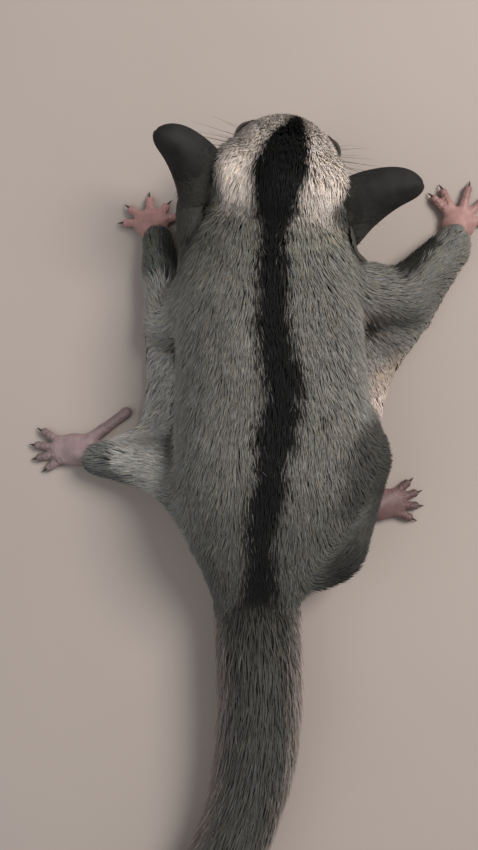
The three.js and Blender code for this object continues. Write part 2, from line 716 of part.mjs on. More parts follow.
// Limbs, cut at the elbow or knee and at the wrist or ankle
const LIMB_NODES = {
  arm_left: ["upper_arm_left", "forearm_left"],
  arm_right: ["upper_arm_right", "forearm_right"],
  leg_left: ["thigh_left", "shank_left"],
  leg_right: ["thigh_right", "shank_right"],
};
const LIMB_CELL = { arm_left: 2.5, arm_right: 2.5, leg_left: 2.8, leg_right: 2.8 };

// The face between a limb and its hand or foot looks half way between the two
function wristNormal([, elbow, wrist], palm) {
  const toWrist = vec(wrist).sub(vec(elbow)).normalize();
  const toPalm = vec(palm).sub(vec(wrist)).normalize();
  return toWrist.add(toPalm).normalize().toArray();
}

for (const [key, one] of Object.entries(LIMBS)) {
  const [a, b, c] = one.joints.map(vec);
  const reach = Math.max(...one.radii) + 4;
  const low = [0, 1, 2].map((i) => Math.min(...one.joints.map((p) => p[i])) - reach);
  const high = [0, 1, 2].map((i) => Math.max(...one.joints.map((p) => p[i])) + reach);
  low[2] = BELOW_FLOOR;
  const flesh = mass(body, low, high, LIMB_CELL[key]).intersect(limbSpace(one, 0));
  const bend = b.clone().sub(a).normalize().add(c.clone().sub(b).normalize());
  const { palm } = Object.values(PAWS).find(({ limb: of }) => of === key);
  const end = vec(wristNormal(one.joints, palm.centre)).negate().toArray();
  const upperNode = keep(flesh, bend.clone().negate().toArray(), b.toArray(), GAP / 2);
  const lowerNode = keep(keep(flesh, bend.toArray(), b.toArray(), GAP / 2), end, c.toArray(), GAP / 2);
  add(LIMB_NODES[key][0], upperNode, "fur");
  add(LIMB_NODES[key][1], lowerNode, "fur");
}

// Hands and feet
function paw({ limb: limbName, palm, digits, thumb }) {
  const { joints } = LIMBS[limbName];
  const [, elbow, wrist] = joints;
  const turn = new THREE.Matrix4().makeRotationZ(radians(palm.heading));
  const place = new THREE.Matrix4().makeTranslation(...palm.centre).multiply(turn);
  const forearm = vec(wrist).sub(vec(elbow)).normalize();
  const inside = vec(wrist).addScaledVector(forearm, -WRIST_ROOT).toArray();
  const at = (bearing, r, z) => {
    const a = radians(bearing);
    return [palm.centre[0] + r * Math.cos(a), palm.centre[1] + r * Math.sin(a), z];
  };
  const digit = ([bearing, reach], radius = DIGIT_RADIUS) =>
    tube([
      [...at(bearing, 1, 2.5), radius],
      [...at(bearing, reach - 0.8, 1.2), 1.1 * radius, DIGIT_RADIUS],
      [...at(bearing, reach, 0.95), 0.55 * radius],
    ], 5);
  const claw = ([bearing, reach]) =>
    tube([
      [...at(bearing, reach - 1.2, 1.5), CLAW_RADIUS],
      [...at(bearing, reach + 0.5 * CLAW_LENGTH, 1.4), 0.8 * CLAW_RADIUS],
      [...at(bearing, reach + CLAW_LENGTH, 0.35), 0.25 * CLAW_RADIUS],
    ], 3);
  const pieces = [
    ball([0, 0, 0], palm.radii, 9, 6, place),
    tube([[...inside, WRIST_RADIUS], [...wrist, WRIST_RADIUS], [...palm.centre, 3.6, 2.4]], 8),
    ...digits.map((one) => digit(one)),
    ...digits.map(claw),
  ];
  const whole = keep(unite(pieces), wristNormal(joints, palm.centre), wrist, GAP / 2);
  return thumb ? whole.add(digit(thumb, THUMB_RADIUS)) : whole;
}

for (const [name, one] of Object.entries(PAWS)) add(name, paw(one), "skin");

// The gliding membrane on each side, outside the torso and clear of the limbs
{
  const outside = mass((p) => torso(p) - FLANK_LIP, [-40, -64, -4], [40, 70, 48], 4.6, CUT_TOLERANCE);
  const boxes = {
    patagium_left: [[-58, -20, BELOW_FLOOR], [-20, 60, 20]],
    patagium_right: [[20, -20, BELOW_FLOOR], [64, 62, 20]],
  };
  for (const [name, [low, high]] of Object.entries(boxes))
    add(name, mass(body, low, high, 1.7).subtract(outside).subtract(limbSpaces), "fur");
}

// Draw a point of the head's frame on to the skin, along the line from the middle of the head.
function onFace(q) {
  const [x, y, z] = q;
  const away = new THREE.Vector3(x, 0.35 * (y - 8), z + 2).normalize();
  let p = vec(q);
  for (let turn = 0; turn < 12; turn += 1) p = p.addScaledVector(away, -headShape(p.toArray()));
  return p.toArray();
}

const mouthPath = (side) => MOUTH.map(([x, y, z]) => fromHead(onFace([side * x, y, z])));
const mouthTube = (side, radius, sides) => tube(mouthPath(side).map((p) => [...p, radius]), sides);
const lips = () => mouthTube(-1, LIP_RADIUS, 6).add(mouthTube(1, LIP_RADIUS, 6));
const mouthLine = () => mouthTube(-1, MOUTH_GROOVE, 4).add(mouthTube(1, MOUTH_GROOVE, 4));

// The lids: a ring that stands a little proud of the eye's socket
function lid(side) {
  const looks = vec([side * EYE_LOOKS[0], EYE_LOOKS[1], EYE_LOOKS[2]]).normalize();
  const depth = Math.sqrt((EYE_RADIUS + 0.3) ** 2 - LID_RADIUS ** 2);
  const geometry = new THREE.TorusGeometry(LID_RADIUS, LID_THICK, 5, 16);
  geometry.applyQuaternion(new THREE.Quaternion().setFromUnitVectors(new THREE.Vector3(0, 0, 1), looks));
  const place = vec([side * EYE[0], EYE[1], EYE[2]]).addScaledVector(looks, depth);
  geometry.translate(place.x, place.y, place.z);
  geometry.applyMatrix4(headFrame);
  return solidOf(geometry);
}

function nostrils() {
  const one = (side) => {
    const [from, to] = [NOSTRIL.from, NOSTRIL.to].map(([x, y, z]) => fromHead([side * x, y, z]));
    return tube([[...from, NOSTRIL.radius], [...to, NOSTRIL.radius]], 6);
  };
  return one(-1).add(one(1));
}

// Head
{
  const low = [-24, 46, -2];
  const high = [26, 96, 46];
  let head = keep(mass(body, low, high, 1.5, HEAD_TOLERANCE), HEAD_CUT.normal, HEAD_CUT.through, GAP / 2);
  head = head.add(lips()).subtract(mouthLine());
  for (const [name, side] of [["eye_left", -1], ["eye_right", 1]]) {
    const centre = fromHead([side * EYE[0], EYE[1], EYE[2]]);
    const round = (radius) => [radius, radius, radius];
    head = head.add(lid(side)).subtract(ball(centre, round(EYE_RADIUS + GAP), 14, 10));
    add(name, ball(centre, round(EYE_RADIUS), 12, 8), "eye");
  }
  head = head.subtract(limbSpaces);
  head = head.subtract(earSpaces);
  const nose = ball(NOSE, NOSE_RADII, 10, 7, headFrame).subtract(nostrils());
  const noseSpace = ball(NOSE, NOSE_RADII.map((r) => r + GAP), 10, 7, headFrame);
  add("nose", nose, "skin");
  add("head", head.subtract(noseSpace), "fur");
}

// Tail: a slim core, and flat tapered locks that leave it in rows and lie back over one another
{
  const line = TAIL.map(([x, y, share]) => vec([x, y, share * TAIL_RADIUS - TAIL_SINK]));
  const curve = new THREE.CatmullRomCurve3(line);
  const length = curve.getLength();
  const centre = (t) =>
    t <= 1 ? curve.getPoint(t) : curve.getPoint(1).addScaledVector(curve.getTangent(1), (t - 1) * length);
  const radiusAt = (t) => {
    const u = Math.min(t, 1) * (TAIL.length - 1);
    const i = Math.min(Math.floor(u), TAIL.length - 2);
    return TAIL_RADIUS * lerp(TAIL[i][2], TAIL[i + 1][2], u - i) * (t > 1 ? 0.6 : 1);
  };
  const coreShare = (t) => lerp(1, TAIL_CORE, THREE.MathUtils.smoothstep(t, COLLAR_FROM, COLLAR_TO));
  const random = seeded(7);

  const roundAt = (row) => (row > (LOCK_ROWS * 2) / 3 ? LOCKS_ROUND - 1 : LOCKS_ROUND);
  const locks = [];
  for (let row = 0; row < LOCK_ROWS; row += 1)
    for (let k = 0; k < roundAt(row); k += 1) {
      const t = lerp(LOCKS_FROM, LOCKS_TO, row / (LOCK_ROWS - 1));
      const turn = (2 * Math.PI * (k + (row % 2) / 2)) / roundAt(row) + lerp(-0.05, 0.05, random());
      const long = (LOCK_LENGTH * lerp(0.95, 1.05, random())) / length;
      locks.push({ t, turn, long, rootY: centre(t).y, share: LOCK_SPREAD / roundAt(row) });
    }

  // A lock from its root in the core out to its tip, or the space round it
  const lock = ({ t, turn, long, share }, room = 0) => {
    const steps = [0, 0.4, 0.75, 1];
    const widths = [1, 1, 0.85, 0.08];
    const thick = [1, 1, 0.7, 0.25];
    let outwards;
    const stations = steps.map((step, n) => {
      const at = Math.min(t + step * long, 1.06);
      const forward = curve.getTangent(Math.min(at, 1));
      const side = new THREE.Vector3(0, 0, 1).cross(forward).normalize();
      const up = forward.clone().cross(side);
      outwards = side.multiplyScalar(Math.cos(turn)).addScaledVector(up, Math.sin(turn));
      const reach = lerp(0.75 * TAIL_CORE, 1, step ** LOCK_RISE) * radiusAt(at);
      const place = centre(at).addScaledVector(outwards, reach);
      const halfWide = Math.PI * reach * share * widths[n];
      return [...place.toArray(), halfWide + room, (LOCK_THICK * thick[n]) / 2 + room];
    });
    return tube(stations, 4, outwards.toArray());
  };

  const rings = 20;
  const stations = [];
  for (let i = 0; i <= rings; i += 1) {
    const t = i / rings;
    stations.push([...centre(t).toArray(), radiusAt(t) * coreShare(t)]);
  }
  const core = tube(stations, 10);
  const names = ["tail_base", "tail_middle", "tail_tip"];
  const cuts = [...TAIL_CUTS, -1000];
  names.forEach((name, n) => {
    const [from, to] = [cuts[n], cuts[n + 1]];
    const own = locks.filter(({ rootY }) => rootY < from - LOCK_ROOM && rootY > to + LOCK_ROOM);
    const whole = unite([keep(core, [0, 1, 0], [0, to, 0], GAP / 2), ...own.map((one) => lock(one))]);
    const coat = keep(whole, [0, -1, 0], [0, from, 0], GAP / 2);
    const over = locks.filter(({ rootY }) => n > 0 && rootY > from + LOCK_ROOM);
    add(name, over.reduce((rest, one) => rest.subtract(lock(one, GAP)), coat), "fur");
  });
}

// The model
const glider = new THREE.Group();
for (const [name, { solid, material }] of parts) {
  const mesh = solid.getMesh();
  const geometry = new THREE.BufferGeometry();
  geometry.setAttribute("position", new THREE.BufferAttribute(new Float32Array(mesh.vertProperties), 3));
  geometry.setIndex(new THREE.BufferAttribute(new Uint32Array(mesh.triVerts), 1));
  const node = new THREE.Mesh(geometry, material);
  node.name = name;
  glider.add(node);
}

export default glider;
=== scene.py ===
"""A sugar glider at life size, sprawled on a pale floor and seen from straight above.

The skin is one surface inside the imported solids. The coat over it is made of many thin closed
tufts that follow the lie of the hair. Shapes are worked out in millimetres in the frame of the
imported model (+Y to the nose, +X the animal's right, +Z up) and written out in metres.
"""

import math
from functools import partial

import bpy
import numpy as np
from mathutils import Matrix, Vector


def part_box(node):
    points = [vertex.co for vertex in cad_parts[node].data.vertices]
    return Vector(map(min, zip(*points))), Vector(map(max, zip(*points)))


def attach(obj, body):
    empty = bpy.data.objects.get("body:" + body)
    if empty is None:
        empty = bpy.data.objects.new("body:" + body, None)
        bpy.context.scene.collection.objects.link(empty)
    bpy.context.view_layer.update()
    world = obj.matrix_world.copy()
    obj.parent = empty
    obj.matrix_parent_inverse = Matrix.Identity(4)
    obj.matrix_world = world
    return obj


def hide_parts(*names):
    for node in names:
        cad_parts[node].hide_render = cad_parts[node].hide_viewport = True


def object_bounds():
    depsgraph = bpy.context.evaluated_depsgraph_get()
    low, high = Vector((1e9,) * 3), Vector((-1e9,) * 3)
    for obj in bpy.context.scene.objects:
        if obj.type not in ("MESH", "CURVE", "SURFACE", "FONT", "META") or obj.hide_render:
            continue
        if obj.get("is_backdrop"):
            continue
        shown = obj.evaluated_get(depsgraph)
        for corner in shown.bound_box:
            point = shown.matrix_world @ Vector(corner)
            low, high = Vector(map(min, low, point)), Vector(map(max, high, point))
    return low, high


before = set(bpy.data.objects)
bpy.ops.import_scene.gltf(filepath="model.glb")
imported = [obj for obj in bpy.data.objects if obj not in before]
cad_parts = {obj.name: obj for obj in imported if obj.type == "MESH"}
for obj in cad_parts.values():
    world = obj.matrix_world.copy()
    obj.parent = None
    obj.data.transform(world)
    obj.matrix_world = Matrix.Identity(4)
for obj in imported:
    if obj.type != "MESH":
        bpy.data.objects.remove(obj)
cad_low, cad_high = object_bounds()
MM = 0.001
rng = np.random.default_rng(20)
outer = np.multiply.outer


def array(values):
    return np.array(values, float)


# ---------------------------------------------------------------- shape of the animal

HEAD_CENTRE = array([2.0, 73.2, 22.5])
HEAD_PITCH, HEAD_YAW = math.radians(-46), math.radians(-12)
EYE = array([11.0, 7.6, 3.2])
EYE_RADIUS = 4.7
MUZZLE_TIP = [0, 18.6, -3.6]
NOSE = array([0, 21.9, -2.2])
NOSTRIL = ([1.15, 24.0, -2.6], [1.75, 22.2, -2.0], 0.55, 0.45)
MOUTH = array([[0, 20.5, -6.6], [2.6, 18.4, -6.9], [4.6, 14.2, -7.2], [6.6, 9.6, -7.6]])
# y, x, height of the centre, half width, half height
TORSO = array([
    [61, -0.2, 23.0, 18.5, 13.5], [53, -1.4, 22.5, 23.5, 16.0], [43, -2.0, 21.5, 25.5, 18.6],
    [27, -1.6, 20.0, 27.2, 20.4], [9, -1.0, 19.5, 28.2, 21.3], [-9, -0.8, 19.3, 28.6, 21.6],
    [-22, -2.2, 18.5, 26.5, 21.0], [-34, -3.8, 16.8, 21.5, 18.6], [-44, -4.9, 14.4, 16.2, 15.2],
    [-53, -5.3, 12.0, 12.8, 12.4],
])
TORSO_POWER = 2.3  # 2 is an ellipse across, more is squarer
# shoulder or hip, elbow or knee, wrist or ankle; their radii
LIMBS = {
    "arm_left": (array([[-17, 39, 19], [-31, 31, 10], [-35.2, 56.5, 5.2]]), [10.5, 7.2, 5]),
    "arm_right": (array([[16, 40, 19], [37, 38.2, 10.5], [55, 56.5, 5.4]]), [10.5, 8.6, 5.2]),
    "leg_left": (array([[-13, -26, 17], [-31, -13, 11], [-53.5, -10.5, 5.4]]), [13.5, 9.2, 5.2]),
    "leg_right": (array([[13.5, -33, 14.6], [24.2, -10, 17], [26, -26.5, 5.4]]), [15.2, 9.6, 5]),
}
# the forms of the body, in the order of their columns; the limbs are in the order of LIMBS
TORSO_FORM, HEAD_FORM, THROAT_FORM, RUFF_FORM, ARM_L, ARM_R, LEG_L, LEG_R, WING_L, WING_R = range(10)
MELTS = [4, 4, 4, 6, 10, 7, 8]  # how widely the ruff, limbs and membranes run into the body
ARMPIT = ([25.5, 33, 11.5], [34, 28, 8], 3.6, 2.6)
MEMBRANE_HALF = 1.7
# corners, and the three of them that each piece joins
MEMBRANES = {
    "left": (array([[-36.5, 48, 4.2], [-31.5, 32, 7], [-37.6, 30, 4.2], [-27, 22, 9], [-37, 10, 4.2],
                    [-27, -4, 10], [-33, -10, 7.5], [-39.2, -0.5, 4.2], [-50, -8.5, 4.2]]),
             [[0, 1, 2], [2, 3, 4], [3, 4, 5], [4, 5, 6], [4, 6, 7], [7, 6, 8]]),
    "right": (array([[57, 51.5, 4.2], [36, 38, 8.5], [46, 31.5, 5], [26, 26, 11], [34.5, 15, 6.5],
                     [26.5, 4, 10], [28.5, -5, 9.5]]),
              [[0, 1, 2], [1, 2, 3], [2, 3, 4], [3, 4, 5], [4, 5, 6]]),
}
# x, y, coat radius as a share of TAIL_RADIUS
TAIL_RADIUS, TAIL_SINK, TAIL_LENGTH = 13.2, 0.8, 172.0
TAIL = array([
    [-5.2, -47, 0.96], [-4.8, -64, 1.0], [-4.3, -82, 0.98], [-5.6, -99, 0.94],
    [-9.0, -115, 0.88], [-15.0, -130, 0.83], [-24.0, -144, 0.79], [-35.5, -156, 0.74],
    [-49.0, -166, 0.66], [-63.0, -173, 0.52], [-74.0, -177, 0.3],
])
# centre and radii of the palm or sole; bearing and reach of each digit; a foot's thumb has no claw
PAWS = {
    "hand_left": dict(limb="arm_left", centre=[-37.4, 62, 2.4], radii=[5.2, 5.6], heading=105, thumb=[],
                      digits=[[176, 8.6], [143, 8.6], [95, 8.4], [52, 7.8], [18, 7.8]]),
    "hand_right": dict(limb="arm_right", centre=[57.4, 62, 2.4], radii=[5.6, 5.8], heading=60, thumb=[],
                       digits=[[132, 11.5], [114, 11.8], [74, 12.2], [44, 11.8], [10, 10]]),
    "foot_left": dict(limb="leg_left", centre=[-60.5, -7.6, 2.6], radii=[8.0, 5.6], heading=176,
                      digits=[[152, 12.2], [174, 13.0], [192, 12.6], [212, 11.0]], thumb=[[37, 19.6]]),
    "foot_right": dict(limb="leg_right", centre=[33.3, -24.6, 2.6], radii=[8.0, 5.4], heading=14,
                       digits=[[38, 11.2], [18, 11.8], [-2, 11.6], [-24, 10.6]], thumb=[[112, 8.5]]),
}


def dot(a, b):
    return np.einsum("...j,...j->...", a, b)


def length(a):
    return np.sqrt(dot(a, a))


def unit(a):
    return a / np.maximum(length(a), 1e-9)[..., None]


def scaled(rows, by):
    return rows * by[:, None]


def smooth(x, low, high):
    t = np.clip((x - low) / (high - low), 0, 1)
    return t * t * (3 - 2 * t)


def blend(a, b, k):
    h = np.maximum(k - np.abs(a - b), 0)
    return np.minimum(a, b) - h * h / (4 * k)


def folded(q):
    """Points of both sides of the head, brought to its right side."""
    return np.column_stack([np.abs(q[:, 0]), q[:, 1:]])


def progress(p, a, b):
    """How far along a line points are, from 0 to 1."""
    return np.clip((p - a) @ (b - a) / ((b - a) @ (b - a)), 0, 1)


def rod(p, a, b, ra, rb):
    a, b = array(a), array(b)
    h = progress(p, a, b)
    return length(p - a - h[:, None] * (b - a)) - (ra + (rb - ra) * h)


def ellipsoid(p, c, r):
    q = (p - array(c)) / r
    k0, k1 = length(q), length(q / r)
    return np.where(k1 > 1e-9, k0 * (k0 - 1) / np.maximum(k1, 1e-9), -min(r))


def sheet(p, corners):
    a, b, c = corners
    normal = np.cross(b - a, a - c)
    edges = [(b - a, p - a), (c - b, p - b), (a - c, p - c)]
    sides = sum(np.sign(q @ np.cross(e, normal)) for e, q in edges)
    apart = [length(np.clip(q @ e / (e @ e), 0, 1)[:, None] * e - q) for e, q in edges]
    face = np.abs((p - a) @ normal) / np.linalg.norm(normal)
    return np.where(sides < 2, np.minimum(np.minimum(apart[0], apart[1]), apart[2]), face) - MEMBRANE_HALF


def curves(table, y):
    """Smooth curves through the rows of a table by its first column, one for each other column."""
    if table[0][0] > table[-1][0]:
        table = table[::-1]
    x = table[:, 0]
    k = np.arange(len(x))
    after, before = np.minimum(k + 1, len(x) - 1), np.maximum(k - 1, 0)
    i = np.clip(np.searchsorted(x, y) - 1, 0, len(x) - 2)
    span = x[i + 1] - x[i]
    t = np.clip((y - x[i]) / span, 0, 1)
    t2, t3 = t * t, t * t * t
    found = []
    for v in table.T[1:]:
        slope = (v[after] - v[before]) / (x[after] - x[before])
        found.append((2 * t3 - 3 * t2 + 1) * v[i] + (t3 - 2 * t2 + t) * span * slope[i]
                     + (3 * t2 - 2 * t3) * v[i + 1] + (t3 - t2) * span * slope[i + 1])
    return found


def torso(p):
    y = np.clip(p[:, 1], TORSO[-1][0], TORSO[0][0])
    x, z, wide, high = curves(TORSO, y)
    d = np.stack([p[:, 0] - x, p[:, 1] - y, p[:, 2] - z], 1)
    n = TORSO_POWER
    share = sum(np.abs(d[:, k] / r) ** n for k, r in enumerate((wide, high, high))) ** (1 / n)
    reach = length(d)
    return np.where(share > 1e-6, reach - reach / np.maximum(share, 1e-6), -high)


def turn_z(a):
    return array([[math.cos(a), -math.sin(a), 0], [math.sin(a), math.cos(a), 0], [0, 0, 1]])


def turn_x(a):
    return array([[1, 0, 0], [0, math.cos(a), -math.sin(a)], [0, math.sin(a), math.cos(a)]])


HEAD_TURN = turn_z(HEAD_YAW) @ turn_x(HEAD_PITCH)


def in_head(p):
    return (p - HEAD_CENTRE) @ HEAD_TURN


def from_head(q):
    return array(q) @ HEAD_TURN.T + HEAD_CENTRE


def gap_to_eye(q):
    return length(folded(q) - EYE) - EYE_RADIUS


def head_shape(q):
    m = folded(q)
    d = ellipsoid(q, [0, -4, 0.8], [17.0, 17.5, 14.2])
    d = blend(d, rod(q, [0, 4, -0.6], [0, 12, -2.6], 12.6, 8.2), 5)
    d = blend(d, rod(q, [0, 10, -2.6], MUZZLE_TIP, 7.8, 4.1), 4)
    d = blend(d, ellipsoid(m, [10.2, -0.5, -4.5], [7.0, 10.5, 7.6]), 4)
    d = blend(d, ellipsoid(m, [12.8, -10.5, 1.0], [7.2, 8.5, 8.5]), 5)
    d = blend(d, ellipsoid(m, [9.4, 6.4, 2.6], [5.6, 6.2, 5.6]), 2.5)
    d = blend(d, ellipsoid(m, [3.1, 16.4, -4.1], [3.6, 5.0, 3.4]), 1.8)
    return blend(d, rod(q, [0, 4, -9.0], [0, 15.6, -7.6], 5.6, 2.8), 2.2)


THROAT = from_head([0, -6, -6])


def forms(p):
    """Signed distances to the forms of the body, one column each."""
    columns = [torso(p), head_shape(in_head(p)), rod(p, THROAT, [-1, 40, 14], 12, 15),
               rod(p, [-22.3, 66, 21.5], [-20.8, 46, 17], 6.4, 7)]
    for (a, b, c), r in LIMBS.values():
        columns.append(blend(rod(p, a, b, r[0], r[1]), rod(p, b, c, r[1] * 0.92, r[2]), 3))
    columns[ARM_R] = blend(columns[ARM_R], rod(p, *ARMPIT), 5)
    for corners, pieces in MEMBRANES.values():
        flat = np.full(len(p), 1e3)
        for three in pieces:
            flat = blend(flat, sheet(p, corners[three]), 1.2)
        columns.append(flat)
    return np.stack(columns, 1)


def joined(f):
    d = blend(blend(f[:, TORSO_FORM], f[:, HEAD_FORM], 9), f[:, THROAT_FORM], 5)
    for k, melt in enumerate(MELTS, RUFF_FORM):
        d = blend(d, f[:, k], melt)
    return d


def shares(f, k=2.5):
    """How much each form counts at a point."""
    w = np.exp(-(f - f.min(1)[:, None]) / k)
    return w / w.sum(1)[:, None]


def coat(p):
    return joined(forms(p))


def limb_progress(p, limb):
    """0 at the shoulder or hip, 1 at the elbow or knee, 2 at the wrist or ankle."""
    a, b, c = LIMBS[limb][0]
    return np.where(rod(p, a, b, 0, 0) < rod(p, b, c, 0, 0), progress(p, a, b), 1 + progress(p, b, c))


def depth_of(p, f):
    """Depth of the coat in mm."""
    q = in_head(p)
    one = np.ones(len(p))
    face = 3.6 - 2.5 * smooth(q[:, 1], -14, 8) - 0.3 * smooth(q[:, 1], 12, 19)
    depths = [4.4 * one, face * (0.35 + 0.65 * smooth(gap_to_eye(q), 0.3, 4)), 3.6 * one, 3.0 * one]
    depths += [4.2 - 1.35 * limb_progress(p, limb) for limb in LIMBS] + [0.75 * one] * len(MEMBRANES)
    return dot(shares(f), np.stack(depths, 1))


def skin_field(p):
    f = forms(p)
    return joined(f) + depth_of(p, f)


def gradient(field, p, e=0.05):
    out = np.zeros_like(p)
    for k in array([[1, 1, 1], [1, -1, -1], [-1, 1, -1], [-1, -1, 1]]):
        out += field(p + e * k)[:, None] * k
    return out / (4 * e)


def onto(field, p, level=0.0, turns=3):
    """Draw points on to the surface where the field is at a level."""
    for _ in range(turns):
        g = gradient(field, p)
        d = field(p) - level
        p = p - (d / np.maximum(dot(g, g), 0.05))[:, None] * g
    return p


# ---------------------------------------------------------------- surfaces

def nets(field, xs, ys, zs):
    """Quads over the zero level of a field on a grid, with one vertex in each crossed cell."""
    axes, shape = [xs, ys, zs], (len(xs), len(ys), len(zs))
    value = np.empty(shape, np.float32)
    gy, gz = (g.ravel() for g in np.meshgrid(ys, zs, indexing="ij"))
    slab = 24  # planes worked out at a time
    for start in range(0, shape[0], slab):
        planes = xs[start:start + slab]
        p = np.stack([np.repeat(planes, len(gy)), np.tile(gy, len(planes)), np.tile(gz, len(planes))], 1)
        value[start:start + slab] = field(p).reshape(len(planes), *shape[1:])
    value[value == 0] = 1e-6
    inside = value < 0
    corners = [(i, j, k) for i in (0, 1) for j in (0, 1) for k in (0, 1)]
    count = sum(inside[tuple(slice(o, n - 1 + o) for o, n in zip(corner, shape))].astype(np.int8)
                for corner in corners)
    cells = np.argwhere((count > 0) & (count < 8))
    number = np.full(shape, -1, np.int32)
    number[tuple(cells.T)] = np.arange(len(cells))
    total, crossings = np.zeros((len(cells), 3)), np.zeros(len(cells))
    for axis in range(3):
        for u, v in ((0, 0), (0, 1), (1, 0), (1, 1)):
            offset = [0, 0, 0]
            offset[(axis + 1) % 3], offset[(axis + 2) % 3] = u, v
            near = cells + offset
            far = near.copy()
            far[:, axis] += 1
            a, b = value[tuple(near.T)], value[tuple(far.T)]
            cross = (a < 0) != (b < 0)
            t = a / np.where(cross, a - b, 1)
            p = np.stack([axes[c][near[:, c]] for c in range(3)], 1)
            p[:, axis] += t * (axes[axis][far[:, axis]] - p[:, axis])
            total += np.where(cross[:, None], p, 0)
            crossings += cross
    quads = []
    for axis in range(3):
        near = [slice(1, n - 1) for n in shape]
        far = list(near)
        far[axis] = slice(2, shape[axis])
        at = np.argwhere(inside[tuple(near)] != inside[tuple(far)]) + 1
        flip = ~inside[tuple(at.T)]
        ring = []
        for back_one, back_two in ((0, 0), (1, 0), (1, 1), (0, 1)):
            cell = at.copy()
            cell[:, (axis + 1) % 3] -= back_one
            cell[:, (axis + 2) % 3] -= back_two
            ring.append(number[tuple(cell.T)])
        ring = np.stack(ring, 1)
        ring[flip] = ring[flip][:, ::-1]
        quads.append(ring)
    return total / crossings[:, None], [np.concatenate(quads)]


def make_mesh(name, points, faces, colour=None, uv=None, normals=None):
    """A smooth-shaded object out of points in mm and lists of faces with 3 or 4 corners each."""
    mesh = bpy.data.meshes.new(name)
    loops = np.concatenate([f.ravel() for f in faces]).astype(np.int32)
    sizes = np.concatenate([np.full(len(f), f.shape[1]) for f in faces])
    starts = (np.cumsum(sizes) - sizes).astype(np.int32)
    mesh.vertices.add(len(points))
    mesh.loops.add(len(loops))
    mesh.polygons.add(len(sizes))
    mesh.vertices.foreach_set("co", (points * MM).astype(np.float32).ravel())
    mesh.loops.foreach_set("vertex_index", loops)
    mesh.polygons.foreach_set("loop_start", starts)
    mesh.polygons.foreach_set("use_smooth", np.ones(len(sizes), bool))
    if colour is not None:
        layer = mesh.color_attributes.new("tint", "FLOAT_COLOR", "POINT")
        rgba = np.ones((len(points), 4), np.float32)
        rgba[:, :3] = colour
        layer.data.foreach_set("color", rgba.ravel())
    if uv is not None:
        layer = mesh.uv_layers.new(name="OFBake")
        layer.uv.foreach_set("vector", uv[loops].astype(np.float32).ravel())
    mesh.update(calc_edges=True)
    if normals is not None:
        layer = mesh.attributes.new("custom_normal", "FLOAT_VECTOR", "POINT")
        layer.data.foreach_set("vector", normals.astype(np.float32).ravel())
    ob = bpy.data.objects.new(name, mesh)
    bpy.context.scene.collection.objects.link(ob)
    return ob


def piece(name, points, faces, material, slot, instead_of=(), **layers):
    """A mesh that belongs to the animal, with its material and the nodes it replaces; slot is not used."""
    ob = make_mesh(name, points, faces, **layers)
    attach(ob, "root")
    ob.data.materials.append(material)
    if instead_of:
        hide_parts(*instead_of)


def lift_to(points, height):
    points[:, 2] = np.maximum(points[:, 2], height)


def all_round(sides):
    return np.arange(sides) * 2 * math.pi / sides


def quad(*corners):
    return np.stack(corners, 1)


def grid(a, b):
    return (g.ravel() for g in np.meshgrid(a, b, indexing="ij"))


def ring_faces(rings, sides):
    """Quads between closed rings of points, and caps to the two points that come after them."""
    n = np.arange(sides)
    m = (n + 1) % sides
    last = (rings - 1) * sides
    end = np.full(sides, rings * sides)
    quads = [quad(i + n, i + m, i + sides + m, i + sides + n) for i in range(0, last, sides)]
    return [np.concatenate(quads), np.concatenate([quad(end, m, n), quad(end + 1, last + n, last + m)])]


def facing_out(points, faces, centre=0.0):
    """The faces of a closed shape, turned round if they face in."""
    a, b, c = (points[faces[0][:, k]] - centre for k in range(3))
    return [f[:, ::-1] for f in faces] if np.einsum("ij,ij->", a, np.cross(b, c)) < 0 else faces


def tube(stations, sides, up=(0, 0, 1)):
    """Points and faces of a closed tube round a path of [x, y, z, radius]."""
    s = array(stations)
    points = s[:, :3]
    ahead = np.empty_like(points)
    ahead[1:-1] = points[2:] - points[:-2]
    ahead[0], ahead[-1] = points[1] - points[0], points[-1] - points[-2]
    ahead = unit(ahead)
    side = unit(np.cross(ahead, up))
    rise = np.cross(side, ahead)
    a = all_round(sides)
    rings = (points[:, None] + s[:, 3, None, None]
             * (np.cos(a)[None, :, None] * side[:, None] + np.sin(a)[None, :, None] * rise[:, None]))
    return np.concatenate([rings.reshape(-1, 3), points[:1], points[-1:]]), ring_faces(len(s), sides)


def merge(items):
    """Several (points, [quads, triangles]) as one."""
    starts = np.cumsum([0] + [len(p) for p, _ in items])
    return (np.concatenate([p for p, _ in items]),
            [np.concatenate([f[k] + start for (_, f), start in zip(items, starts)]) for k in (0, 1)])


# ---------------------------------------------------------------- colours and markings

def tone(*rgb):
    """An 8-bit screen colour as linear light."""
    c = array(rgb) / 255
    return np.where(c <= 0.04045, c / 12.92, ((c + 0.055) / 1.055) ** 2.4)


def noise(p, size, seed):
    """Soft repeatable noise from -1 to 1, with features about `size` mm across."""
    table = np.random.default_rng(seed).uniform(-1, 1, 4096)
    q = p / size
    i = np.floor(q).astype(int)
    t = q - i
    t = t * t * (3 - 2 * t)
    out = 0
    for corner in ((a, b, c) for a in (0, 1) for b in (0, 1) for c in (0, 1)):
        key = (i + corner) @ [73, 179, 283] % len(table)
        out = out + np.prod(np.where(corner, t, 1 - t), axis=1) * table[key]
    return out


def mix(colour, other, share):
    return colour + (other - colour) * share[:, None]


def paint(colour, *layers):
    """A colour under layers of (colour, share)."""
    for other, share in layers:
        colour = mix(colour, other, share)
    return colour


